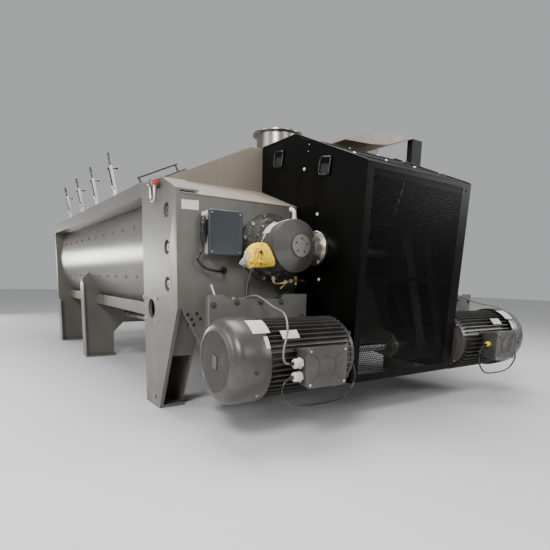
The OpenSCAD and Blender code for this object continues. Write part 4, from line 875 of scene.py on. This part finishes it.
def makeCowl(side, word):
    shop = Shop()
    outer = [(motor["end"] - back, radius) for back, radius in (
        (0.004, 0.164), (0.001, 0.166), (0.0, 0.170), (0.001, 0.175), (0.006, 0.182), (0.006, 0.189),
        (0.018, 0.207), (0.030, 0.219), (0.045, 0.228), (0.060, 0.232), (0.090, 0.235), (0.207, 0.235),
        (0.211, 0.233), (0.211, 0.229), (0.090, 0.229), (0.060, 0.226), (0.036, 0.217), (0.018, 0.201),
        (0.008, 0.180), (0.006, 0.164), (0.004, 0.164))]
    sides = 96
    rings = []
    for along, radius in outer[:-1]:
        ring = []
        for k in range(sides):
            a = 2 * math.pi * k / sides
            ring.append(shop.b.verts.new(place(motor["x"] + radius * math.cos(a), side * along,
                                               motor["z"] + radius * math.sin(a))))
        rings.append(ring)
    for one, two in zip(rings, rings[1:] + rings[:1]):
        for k in range(sides):
            m = (k + 1) % sides
            shop.b.faces.new((one[k], one[m], two[m], two[k]))
    shop.done(word + "CowlShell", motorGrey, replaces=(word + "_fan_cowl",), sharp=40)
    perforated(word + "CowlGrille", motorGrey, (motor["x"], side * (motor["end"] - 0.005), motor["z"]),
               (math.radians(90), 0, 0), 0.36, 0.36, 0.0105, 0.66, 0.002, 0.162, slot="grey_paint")
    boss = Shop()
    ring = []
    for a, b in ((0.030, 0.026), (-0.030, 0.026), (-0.030, -0.026), (0.030, -0.026)):
        ring.append((motor["x"] + a * 0.8 + b * 0.1, side * (motor["end"] - 0.005),
                     motor["z"] + b * 1.4 - a * 0.15))
    boss.prism(ring, (0, side * 0.005, 0))
    boss.torus((motor["x"], side * (motor["end"] - 0.006), motor["z"]), (0, 1, 0), 0.162, 0.003, 96, 8)
    boss.done(word + "CowlBoss", motorGrey, bevel=0.0015)


for side, word in ((-1, "left"), (1, "right")):
    makeCowl(side, word)

# Terminal boxes, glands and their sleeves
print("terminal boxes")
terminal = {"x": 0.700, "deep": 0.106, "y": (0.740, 1.010), "z": (0.343, 0.555), "round": 0.022,
            "ring": 0.060}


def roundedRing(x, ys, zs, radius, grow=0.0, steps=5):
    # Corner points of a rounded rectangle that faces the viewer
    y0, y1, z0, z1 = ys[0] - grow, ys[1] + grow, zs[0] - grow, zs[1] + grow
    radius = max(radius + grow, 0.001)
    ring = []
    for cy, cz, start in ((y1 - radius, z1 - radius, 0), (y0 + radius, z1 - radius, 90),
                          (y0 + radius, z0 + radius, 180), (y1 - radius, z0 + radius, 270)):
        for k in range(steps + 1):
            a = math.radians(start + 90 * k / steps)
            ring.append((x, cy + radius * math.cos(a), cz + radius * math.sin(a)))
    return ring


def makeTerminal(side, word):
    t = terminal
    ys = t["y"] if side > 0 else (-t["y"][1], -t["y"][0])
    zs = t["z"]
    face = t["x"] + t["deep"]
    body = Shop()
    body.loft([roundedRing(x, ys, zs, t["round"], grow) for x, grow in (
        (t["x"], -0.016), (t["x"] + 0.030, -0.008), (face - 0.016, -0.002), (face - 0.013, 0.0),
        (face, 0.0))])
    body.done(word + "TerminalBox", motorGrey, bevel=0.0015)
    cover = Shop()
    cover.loft([roundedRing(x, ys, zs, t["round"], grow) for x, grow in (
        (face, 0.0), (face, 0.002), (face + 0.007, 0.002), (face + 0.0095, -0.001), (face + 0.0095, -0.007),
        (face + 0.0075, -0.010))])
    midY, midZ = sum(ys) / 2, sum(zs) / 2
    reachY, reachZ = (ys[1] - ys[0]) / 2 - 0.022, (zs[1] - zs[0]) / 2 - 0.022
    for a in (-1, 1):
        for b in (-1, 1):
            way = Vector((0, a * reachY, b * reachZ)).normalized()
            across = Vector((1, 0, 0)).cross(way) * 0.0035
            far = Vector((face + 0.007, midY + a * (reachY - 0.012), midZ + b * (reachZ - 0.012)))
            near = Vector((face + 0.007, midY, midZ)) + way * (t["ring"] + 0.002)
            cover.prism([tuple(near - across), tuple(near + across), tuple(far + across),
                         tuple(far - across)], (0.0035, 0, 0))
            cover.turned((face + 0.004, midY + a * (reachY + 0.004), midZ + b * (reachZ + 0.004)), (1, 0, 0),
                         [(0, 0), (0, 0.013), (0.005, 0.012), (0.0055, 0.008), (0.0055, 0)], 24)
    cover.torus((face + 0.0085, midY, midZ), (1, 0, 0), t["ring"], 0.0032, 64, 8)
    cover.turned((face + 0.006, midY, midZ), (1, 0, 0),
                 [(0, 0), (0, 0.047), (0.0032, 0.045), (0.0032, 0.040), (0.0025, 0.038), (0.0025, 0)])
    cover.done(word + "TerminalCover", motorGrey, bevel=0.001)
    rows = [((face + 0.0095, midY + a * (reachY + 0.004), midZ + b * (reachZ + 0.004)),
             (1, 0, 0)) for a in (-1, 1) for b in (-1, 1)]
    heads(word + "TerminalScrews", rows, 0.0055, 0.004, boltSteel, 12, 0.7, 1.35)


for side, word in ((-1, "left"), (1, "right")):
    makeTerminal(side, word)

junction = {"y": (-1.200, -0.973), "z": (1.034, 1.298), "deep": 0.070, "round": 0.014}


def makeJunctionBox():
    j = junction
    body = Shop()
    body.loft([roundedRing(x, j["y"], j["z"], j["round"], grow) for x, grow in (
        (0.0, -0.004), (0.004, -0.002), (j["deep"] - 0.006, 0.0), (j["deep"] - 0.003, -0.002),
        (j["deep"], -0.002))])
    body.done("junctionBody", ivoryPlastic, bevel=0.001, replaces=("enclosures",))
    cover = Shop()
    x = j["deep"]
    cover.loft([roundedRing(x + off, j["y"], j["z"], j["round"], grow) for off, grow in (
        (-0.012, 0.0005), (-0.0125, 0.002), (0.006, 0.002), (0.0105, -0.002), (0.0105, -0.020),
        (0.0095, -0.023))])
    midY, midZ = sum(j["y"]) / 2, sum(j["z"]) / 2
    spots = [(midY + a * 0.096, midZ + b * 0.114) for a in (-1, 1) for b in (-1, 1)]
    for y, z in spots:
        cover.torus((x + 0.0105, y, z), (1, 0, 0), 0.0085, 0.0014, 24, 6)
    cover.done("junctionCover", coverSlate, bevel=0.0008, replaces=("enclosure_covers",))
    heads("junctionScrews", [((x + 0.0085, y, z), (1, 0, 0)) for y, z in spots], 0.0062, 0.005, boltSteel,
          16, 0.75, 1.0)


makeJunctionBox()


def makeGland(shop, spot, along, size=1.0, reach=0.036):
    # Hexagon against the wall, grip nut and dark mouth
    along = Vector(along)
    start = Vector(spot)
    shop.turned(tuple(start), along, [(0, 0), (0, 0.027 * size), (0.0015, 0.030 * size),
                                      (0.0125, 0.030 * size), (0.014, 0.027 * size), (0.014, 0)], 6)
    shop.turned(tuple(start + along * 0.012), along,
                [(0, 0), (0, 0.022 * size), (0.003, 0.022 * size), (0.003, 0)], 32)
    shop.turned(tuple(start + along * 0.014), along, [
        (0, 0.0), (0, 0.0235 * size), (0.002, 0.026 * size), (reach * 0.72, 0.0255 * size),
        (reach * 0.9, 0.021 * size), (reach, 0.016 * size), (reach, 0.0112 * size),
        (reach - 0.010, 0.0105 * size), (reach - 0.010, 0)], 64, 1.0, 0.0016)


def makeGlands():
    hub = {"x": 0.755, "outer": 1.010, "inner": 0.740}
    white = Shop()
    for side in (-1, 1):
        for z in (0.470, 0.400):
            makeGland(white, (hub["x"], side * hub["outer"], z), (0, side, 0))
    makeGland(white, (0.036, -1.200, 1.270), (0, -1, 0), 0.5, 0.014)
    white.done("ivoryGlands", ivoryPlastic, replaces=("cable_glands",), sharp=26)
    yellow = Shop()
    for side in (-1, 1):
        spot = Vector((hub["x"], side * hub["inner"], 0.460))
        along = Vector((0, -side, 0))
        yellow.turned(tuple(spot), along, [(0, 0), (0, 0.020), (0.010, 0.020), (0.010, 0)], 6)
        yellow.turned(tuple(spot + along * 0.010), along,
                      [(0, 0), (0, 0.0175), (0.018, 0.0175), (0.024, 0.011), (0.024, 0)], 48, 1.0, 0.001)
    yellow.done("yellowGlands", yellowPlastic, sharp=26)
    steel = Shop()
    for side in (-1, 1):
        steel.turned((0.0, side * 0.990, 0.760), (1, 0, 0),
                     [(0, 0), (0, 0.020), (0.008, 0.020), (0.008, 0)], 6)
        steel.turned((0.008, side * 0.990, 0.760), (1, 0, 0),
                     [(0, 0), (0, 0.0175), (0.007, 0.0175), (0.010, 0.012), (0.010, 0)], 32)
    steel.done("wallGlands", boltSteel, sharp=26)
    plug = Shop()
    plug.turned((0.042, -1.221, 1.105), (0, 0, 1), [
        (0, 0), (0, 0.0145), (0.006, 0.0175), (0.030, 0.0185), (0.034, 0.0205), (0.060, 0.0205),
        (0.063, 0.0185), (0.088, 0.0185), (0.090, 0.0205), (0.112, 0.0205), (0.116, 0.017),
        (0.140, 0.0165), (0.147, 0.0135), (0.147, 0)], 48, 1.0, 0.0009)
    plug.box((0.028, 0.056), (-1.212, -1.1995), (1.150, 1.238))
    plug.turned((0.0, -1.064, 0.944), (1, 0, 0), [(0, 0), (0, 0.024), (0.004, 0.0235), (0.0065, 0.019),
                                                  (0.0065, 0)], 40)
    plug.done("junctionPlug", cableBlack, bevel=0.0008, sharp=26)
    # tapered sleeves where the cables leave their glands
    sleeves = Shop()
    for side in (-1, 1):
        for name in ("supply", "loop"):
            path = [tuple(Vector((p[0], p[1] * side, p[2]))) for p in smoothRoute(cables[name]["points"])]
            sleeves.sweep(path[3:8], 0.0108, 20, 0.0076)
            if name == "loop":
                sleeves.sweep(path[-5:], 0.0076, 20, 0.0105)
    sleeves.sweep(smoothRoute(cables["junction"]["points"])[1:7], 0.0125, 20, 0.0088)
    sleeves.sweep(smoothRoute(cables["junction"]["points"])[-9:-1], 0.0088, 20, 0.012)
    sleeves.done("cableSleeves", cableBlack, sharp=40)


makeGlands()

# Gear units: front cap, flange ring, breather, sight glass and a bare tag
print("gear units")
gear = {
    "y": 0.73,
    "z": 1.1,
    "front": 0.358,
    "bellX": 0.235,
    "bell": 0.503,
    "boltRing": 0.100,
    "capHoleRing": 0.042,
    "tag": ((118, 152), (0.150, 0.222)),  # degrees round the ring, reach along the shaft
}


def makeGearTrim():
    caps = Shop()
    rims = Shop()
    rows = []
    capHoleShades = []
    for side in (-1, 1):
        spot = (gear["front"], side * gear["y"], gear["z"])
        caps.turned(spot, (1, 0, 0), [(-0.002, 0), (-0.002, 0.0665), (0.0065, 0.0665), (0.0088, 0.063),
                                      (0.0088, 0.018), (0.0045, 0.016), (0.0045, 0)], 64)
        caps.torus((gear["front"] - 0.002, side * gear["y"], gear["z"]), (1, 0, 0), 0.075, 0.0022, 64, 8)
        # five near-black raised discs on each cap where its small holes are: painted shade
        for k in range(5):
            a = 2 * math.pi * (k + 0.3) / 5
            capHoleShades.append(((gear["front"] + 0.0088,
                               side * (gear["y"] + gear["capHoleRing"] * math.cos(a)),
                               gear["z"] + gear["capHoleRing"] * math.sin(a)), (1, 0, 0)))
        rims.turned((gear["bellX"], side * gear["bell"], gear["z"]), (0, side, 0), [
            (0.0002, 0.088), (0.0002, 0.1095), (0.002, 0.1108), (0.020, 0.1108), (0.0225, 0.108),
            (0.0225, 0.088)], 72)
        for k in range(8):
            a = 2 * math.pi * (k + 0.5) / 8
            rows.append(((gear["bellX"] + gear["boltRing"] * math.cos(a), side * (gear["bell"] + 0.0225),
                          gear["z"] + gear["boltRing"] * math.sin(a)), (0, side, 0)))
    caps.done("gearCaps", gearGrey, bevel=0.0008, sharp=26)
    # painted shade for the cap's small holes
    heads("gearCapHoleShades", capHoleShades, 0.0050, 0.0022, paintedShadeBlack, 12, 0.8, 1.1)
    for side in (-1, 1):
        rims.turned((gear["bellX"], side * (gear["bell"] + 0.0225), gear["z"]), (0, side, 0),
                    [(0, 0.086), (0, 0.0928), (0.062, 0.0862), (0.062, 0.080)], 64)
    rims.done("bellFlanges", satinSteel, sharp=26)
    heads("bellBolts", rows, 0.0075, 0.006, satinSteel)
    elbow = Shop()
    # near-black discs in the breathers' mouths are painted shade; the disc on the body's side is the sight
    # glass
    mouthShades = Shop()
    for side in (-1, 1):
        y = side * gear["y"]
        elbow.turned((0.286, y, 1.2545), (0, 0, 1), [(0, 0), (0, 0.0165), (0.012, 0.0165), (0.012, 0)], 6)
        elbow.sweep([(0.286, y, 1.262), (0.286, y, 1.285), (0.284, y, 1.298), (0.278, y, 1.309),
                     (0.268, y, 1.317), (0.256, y, 1.321), (0.248, y, 1.3225)], 0.0115, 24)
        elbow.torus((0.248, y, 1.3225), (-1, 0, 0.12), 0.0112, 0.0024, 32, 8)
        mouthShades.turned((0.2485, y, 1.3225), (-1, 0, 0.12),
                      [(0, 0), (0, 0.0098), (0.0012, 0.0098), (0.0012, 0)], 24)
        mouthShades.turned((0.178, side * (gear["y"] + 0.167), 1.060), (0, side, 0),
                      [(0, 0), (0, 0.010), (0.0012, 0.010), (0.0012, 0)], 24)
    elbow.done("breathers", ivoryPlastic, sharp=40)
    mouthShades.done("breatherMouthShades", paintedShadeBlack)
    tag = Shop()
    for side in (-1, 1):
        (low, high), (x0, x1) = gear["tag"]
        steps = [low + (high - low) * k / 8 for k in range(9)]
        ring = [(0.1568, a) for a in steps] + [(0.1590, a) for a in steps[::-1]]
        points = [(x0, side * (gear["y"] - radius * math.cos(math.radians(a))),
                   gear["z"] + radius * math.sin(math.radians(a))) for radius, a in ring]
        tag.prism(points, (x1 - x0, 0, 0))
    tag.done("gearTags", plateWhite, sharp=40)


makeGearTrim()

# Document bag tied to the left gear unit: a crumpled clear-ended bag
print("bag")
bag = {
    "x": 0.1265,
    "centre": (-0.895, 1.030),
    "rings": 22,
    "clear": 0.166,  # radius of the gear unit's body that the bag slides off
    "slant": 34.6,
    "outline": [
        (-0.985, 1.063), (-0.935, 1.108), (-0.862, 1.119), (-0.800, 1.079), (-0.759, 0.987),
        (-0.813, 0.972), (-0.925, 0.962), (-0.962, 0.961), (-1.026, 0.983), (-0.998, 1.027)],
}


def bagOutline(count=120):
    # The outline with its corners rounded over, as evenly spaced points
    raw = bag["outline"]
    points = []
    for k in range(len(raw)):
        a, b, c, d = (Vector(raw[(k + j - 1) % len(raw)]) for j in range(4))
        for j in range(count // len(raw)):
            t = j / (count // len(raw))
            points.append(between(a, b, c, d, t))
    return points


def makeBag():
    outline = bagOutline()
    centre = Vector(bag["centre"])
    rings = bag["rings"]
    clear = bag["clear"]
    slant = math.tan(math.radians(bag["slant"]))

    def lifted(y, z, off):
        # Slides a point forward until it clears the gear unit's body, then adds the bulge
        drop = z - gear["z"]
        across = -(y + gear["y"])
        need = math.sqrt(max(clear ** 2 - drop ** 2, 0)) - across
        forward = max(need, 0) / slant
        return (bag["x"] + 0.004 + forward + off, y - forward * slant, z)

    def crease(y, z, seed):
        one = mnoise.noise(Vector((y * 34, z * 26, seed)))
        two = mnoise.noise(Vector((y * 88, z * 72, seed + 5)))
        return (1 - abs(one) * 3.2) * 0.013 + (1 - abs(two) * 2.6) * 0.005

    b = bmesh.new()
    loops = {}
    for face, sign in (("front", 1), ("back", -1)):
        loops[face] = []
        for r in range(rings):
            share = (r + 1) / rings
            ring = []
            for p in outline:
                ruffle = 1 + 0.05 * mnoise.noise(Vector((p.x * 60, p.y * 60, 3)))
                spot = centre + (p - centre) * share * ruffle
                swell = math.sqrt(max(1 - share ** 4, 0))
                off = (0.020 + crease(spot.x, spot.y, 1) * min(1, share * 4)) * swell if sign > 0 else 0.0
                ring.append(place(*lifted(spot.x, spot.y, off)) if r < rings - 1 or sign > 0 else None)
            loops[face].append(ring)
    verts = {"front": [[b.verts.new(p) for p in ring] for ring in loops["front"]]}
    verts["back"] = [[b.verts.new(p) for p in ring] for ring in loops["back"][:-1]] + [verts["front"][-1]]
    for face in ("front", "back"):
        first = [v.co for v in verts[face][0]]
        hub = b.verts.new(sum(first, Vector()) / len(first))
        count = len(outline)
        for k in range(count):
            m = (k + 1) % count
            b.faces.new((hub, verts[face][0][k], verts[face][0][m]))
            for one, two in zip(verts[face], verts[face][1:]):
                b.faces.new((one[k], two[k], two[m], one[m]))
    bmesh.ops.recalc_face_normals(b, faces=b.faces)
    mesh = bpy.data.meshes.new("documentBag")
    b.to_mesh(mesh)
    b.free()
    piece = dressed("documentBag", mesh, bagYellow, "mixer_frame", 0.0, 60, ("document_pouch",))
    ties = Shop()
    for start, finish, x0, x1 in ((172, 98, 0.172, 0.272), (165, 110, 0.180, 0.160)):
        steps = [start + (finish - start) * k / 12 for k in range(13)]
        ties.sweep([(x0 + (x1 - x0) * k / 12, -gear["y"] + 0.1605 * math.cos(math.radians(a)),
                     gear["z"] + 0.1605 * math.sin(math.radians(a)))
                    for k, a in enumerate(steps)], 0.0022, 8)
    ties.done("bagTies", plateWhite, sharp=60)


makeBag()

# Motors: bare plates, plug and screws on the cowls
print("motor trim")
motorTags = [
    {"y": (1.135, 1.240), "turn": (43.6, 69.3), "radius": 0.2352},
    {"y": (1.162, 1.186), "turn": (22.2, 38.4), "radius": 0.2352},
    {"y": (0.948, 1.060), "turn": (35.0, 48.5), "radius": 0.2222}]


def makeMotorTrim(side, word):
    tags = Shop()
    for t in motorTags:
        steps = [t["turn"][0] + (t["turn"][1] - t["turn"][0]) * k / 6 for k in range(7)]
        ring = [(t["radius"], a) for a in steps] + [(t["radius"] + 0.0018, a) for a in steps[::-1]]
        y0, y1 = (side * y for y in t["y"])
        tags.prism([(motor["x"] + r * math.cos(math.radians(a)), y0,
                     motor["z"] + r * math.sin(math.radians(a))) for r, a in ring], (0, y1 - y0, 0))
    tags.done(word + "MotorPlates", plateWhite, sharp=40)
    rows = []
    for angle in (-44.7, 45.3, 135.3, 225.3):
        a = math.radians(angle)
        rows.append(((motor["x"] + 0.2345 * math.cos(a), side * 1.207, motor["z"] + 0.2345 * math.sin(a)),
                     (math.cos(a), 0, math.sin(a))))
    heads(word + "CowlScrews", rows, 0.0065, 0.004, boltSteel, 12, 0.6, 1.4)
    plug = Shop()
    a = math.radians(-6.3)
    plug.turned((motor["x"] + 0.2335 * math.cos(a), side * 1.251, motor["z"] + 0.2335 * math.sin(a)),
                (math.cos(a), 0, math.sin(a)),
                [(0, 0), (0, 0.012), (0.004, 0.012), (0.006, 0.009), (0.006, 0)], 24)
    plug.done(word + "CowlPlug", cableBlack)
    rows = []
    for k in range(4):
        a = math.radians(45 + 90 * k)
        rows.append(((motor["x"] + 0.186 * math.cos(a), side * 0.5405, motor["z"] + 0.186 * math.sin(a)),
                     (0, -side, 0)))
    heads(word + "ShieldBolts", rows, 0.009, 0.008, boltSteel)


for side, word in ((-1, "left"), (1, "right")):
    makeMotorTrim(side, word)

# Oil line under each gear unit, conduit, plate bolts
print("pipes")
pipes = {
    "brass": 0.0085,
    "line": 0.0085,
    "conduit": 0.0075,
    "boltX": 0.2355,
    "bolts": ((0.78, 0.757), (0.93, 0.757), (1.098, 0.757), (1.252, 0.742), (1.252, 0.62), (0.612, 0.66),
              (0.612, 0.26), (1.165, 0.26)),
}


def makePipes():
    brass = Shop()
    dark = Shop()
    balls = Shop()
    conduit = Shop()
    rows = []
    for side in (-1, 1):
        def at(x, y, z):
            return (x, side * y, z)
        brass.sweep([at(0.074, 0.73, 0.900), at(0.074, 0.73, 0.880), at(0.086, 0.725, 0.868),
                     at(0.115, 0.715, 0.868), at(0.140, 0.705, 0.872),
                     at(0.150, 0.690, 0.880), at(0.150, 0.600, 0.892), at(0.150, 0.565, 0.892)],
                    pipes["brass"], 16)
        brass.turned(at(0.150, 0.602, 0.862), (0, 0, 1), [(0, 0), (0, 0.012), (0.056, 0.012), (0.056, 0)], 6)
        brass.turned(at(0.150, 0.628, 0.890), (0, -side, 0),
                     [(0, 0), (0, 0.0135), (0.020, 0.0135), (0.020, 0)], 6)
        brass.sweep([at(0.150, 0.690, 0.866), at(0.152, 0.702, 0.858), at(0.154, 0.731, 0.836)], 0.0055, 12)
        balls.turned(at(0.150, 0.697, 0.880), (0, -side, 0),
                     [(0, 0), (0, 0.010), (0.003, 0.0145), (0.014, 0.0145), (0.017, 0.010), (0.017, 0)], 24)
        balls.turned(at(0.150, 0.655, 0.886), (0, -side, 0),
                     [(0, 0), (0, 0.010), (0.003, 0.0145), (0.014, 0.0145), (0.017, 0.010), (0.017, 0)], 24)
        dark.turned(at(0.150, 0.566, 0.892), (0, -side, -0.18),
                    [(0, 0), (0, 0.014), (0.004, 0.017), (0.046, 0.017), (0.050, 0.013), (0.050, 0)], 32)
        dark.sweep([at(0.150, 0.602, 0.866), at(0.150, 0.602, 0.855), at(0.150, 0.612, 0.842),
                    at(0.150, 0.640, 0.828), at(0.150, 0.690, 0.808),
                    at(0.150, 0.745, 0.778), at(0.150, 0.775, 0.750), at(0.150, 0.780, 0.731)],
                   pipes["line"], 14)
        conduit.sweep([at(0.037, 0.869, 1.004), at(0.037, 0.880, 0.950), at(0.032, 0.890, 0.905),
                       at(0.018, 0.898, 0.868), at(0.012, 0.899, 0.830),
                       at(0.012, 0.898, 0.776), at(0.012, 0.896, 0.7315)],
                      pipes["conduit"], 14)
        conduit.turned(at(0.0275, 0.869, 1.006), (1, 0, 0),
                       [(0, 0), (0, 0.013), (0.014, 0.013), (0.017, 0.009), (0.017, 0)], 24)
        rows += [(at(pipes["boltX"], y, z), (1, 0, 0)) for y, z in pipes["bolts"]]
    brass.done("oilFittings", brassTap, sharp=30)
    dark.done("oilLines", cableBlack, sharp=40)
    balls.done("valveCaps", ivoryPlastic, sharp=30)
    conduit.done("wallConduits", machineGrey, sharp=40)
    heads("bracketBolts", rows, 0.013, 0.010, motorGrey, slot="grey_paint")
    rod = Shop()
    rod.rod((0.226, -1.240, 0.7995), (0.226, -1.262, 0.858), 0.0055)
    rod.done("tiePost", plateWhite)


makePipes()

# Columns: port bolts, bare plate, painted highlight along the top edges, lifting gear's colours
print("columns")
column = {
    "portX": -0.155,
    "portY": 1.35,
    "ports": (1.298, 1.077, 0.852),
    "face": 1.375,
    "flange": ((-0.560, 0.748), (-0.356, 0.748), (-0.560, 0.610), (-0.356, 0.610)),
    "holes": ((-1.309, 0.670), (-1.247, 0.675), (-1.283, 0.640), (-1.224, 0.641), (-1.268, 0.606)),
    "holeRadius": 0.0105,
    "pin": (-0.290, 1.409, 1.470),
}
shackleBody = {"left": "left_lifting", "right": "right_lifting"}


def makeColumnTrim():
    c = column
    rows = []
    small = []
    for side in (-1, 1):
        rows += [((c["portX"], side * c["portY"], z), (0, side, 0)) for z in c["ports"]]
        small += [((x, side * c["face"], z), (0, side, 0)) for x, z in c["flange"]]
    heads("portBolts", rows, 0.019, 0.016, satinSteel, 6, 0.85, 1.8)
    heads("columnBolts", small, 0.0095, 0.007, boltSteel, 6, 0.8, 1.4)
    # Near-black discs on the end wall where its five holes are: painted shade
    holes = Shop()
    r = c["holeRadius"]
    for y, z in c["holes"]:
        holes.turned((-0.001, y, z), (1, 0, 0), [(0, 0), (0, r), (0.0016, r), (0.0016, 0)], 24)
    holes.done("wallHoleShades", paintedShadeBlack)
    plate = Shop()
    plate.prism([(0.0, -1.342, 1.292), (0.0, -1.342, 1.345), (0.0, -1.232, 1.349), (0.0, -1.232, 1.294)],
                (0.002, 0, 0))
    plate.done("wallPlate", plateWhite, bevel=0.0006)
    # lighter tan strips along the columns' top edges: painted highlight
    highlightStrips = Shop()
    for side in (-1, 1):
        y = side * 1.3752
        for a, b in (((-0.212, 1.5003), (-0.002, 1.4103)), ((-0.606, 1.5003), (-0.212, 1.5003))):
            highlightStrips.prism([(a[0], y, a[1]), (b[0], y, b[1]), (b[0], y - side * 0.006, b[1]),
                        (a[0], y - side * 0.006, a[1])], (0, 0, 0.0006))
    highlightStrips.done("columnEdgeHighlights", highlightTan)
    for side, word in ((-1, "left"), (1, "right")):
        pin = Shop()
        pinX, pinY, z = c["pin"]
        y = side * pinY
        pin.turned((pinX + 0.0442, y, z), (1, 0, 0),
                   [(0, 0.013), (0, 0.0188), (0.0105, 0.0188), (0.0112, 0.0165), (0.0112, 0)], 32)
        pin.turned((pinX - 0.0445, y, z), (-1, 0, 0),
                   [(-0.0005, 0), (-0.0005, 0.0125), (0.003, 0.0125), (0.003, 0)], 24)
        pin.done(word + "ShacklePin", pinRed, shackleBody[word])


makeColumnTrim()


# Floor, backdrop and lights
print("stage")


studio = {
    "world": 0.55,
    "lights": (  # name, place, aim, width, height, power
        ("keyLight", (3.4, -4.6, 4.4), (0.2, -0.7, 0.7), 1.6, 1.6, 330),
        ("topLight", (-1.2, -0.5, 5.2), (-1.2, -0.4, 1.0), 4.0, 3.0, 330),
        ("sideLight", (-1.5, -6.5, 2.8), (-1.6, 0, 1.1), 3.0, 2.0, 170),
        ("farLight", (-8.5, -3.6, 1.2), (-1.5, -1.3, 1.1), 2.4, 0.8, 105),
        ("frontLight", (5.8, 0.6, 3.6), (0.0, -1.0, 1.1), 2.5, 1.5, 70),
        ("rightLight", (3.4, 5.0, 3.0), (0.4, 0.8, 0.8), 2.0, 2.0, 130),
    ),
}


def makeStage():
    data = bpy.data.meshes.new("floor")
    b = bmesh.new()
    bmesh.ops.create_grid(b, x_segments=2, y_segments=2, size=25)
    b.to_mesh(data)
    b.free()
    floor = bpy.data.objects.new("floor", data)
    bpy.context.scene.collection.objects.link(floor)
    b = Board("paleFloor")
    data.materials.append(b.feed(Base_Color=b.blend(b.noise(0.7, 3), (0.60, 0.60, 0.60, 1),
                                                    (0.63, 0.63, 0.63, 1)), Roughness=0.8))
    world = bpy.data.worlds.new("studio")
    bpy.context.scene.world = world
    world.use_nodes = True
    world.node_tree.nodes["Background"].inputs[0].default_value = (0.78, 0.79, 0.80, 1)
    world.node_tree.nodes["Background"].inputs[1].default_value = studio["world"]
    for name, spot, aim, wide, high, power in studio["lights"]:
        lamp = bpy.data.lights.new(name, "AREA")
        lamp.shape = "RECTANGLE"
        lamp.size = wide
        lamp.size_y = high
        lamp.energy = power
        holder = bpy.data.objects.new(name, lamp)
        bpy.context.scene.collection.objects.link(holder)
        start = place(*spot)
        holder.location = start
        holder.rotation_euler = (place(*aim) - start).to_track_quat("-Z", "Y").to_euler()


makeStage()
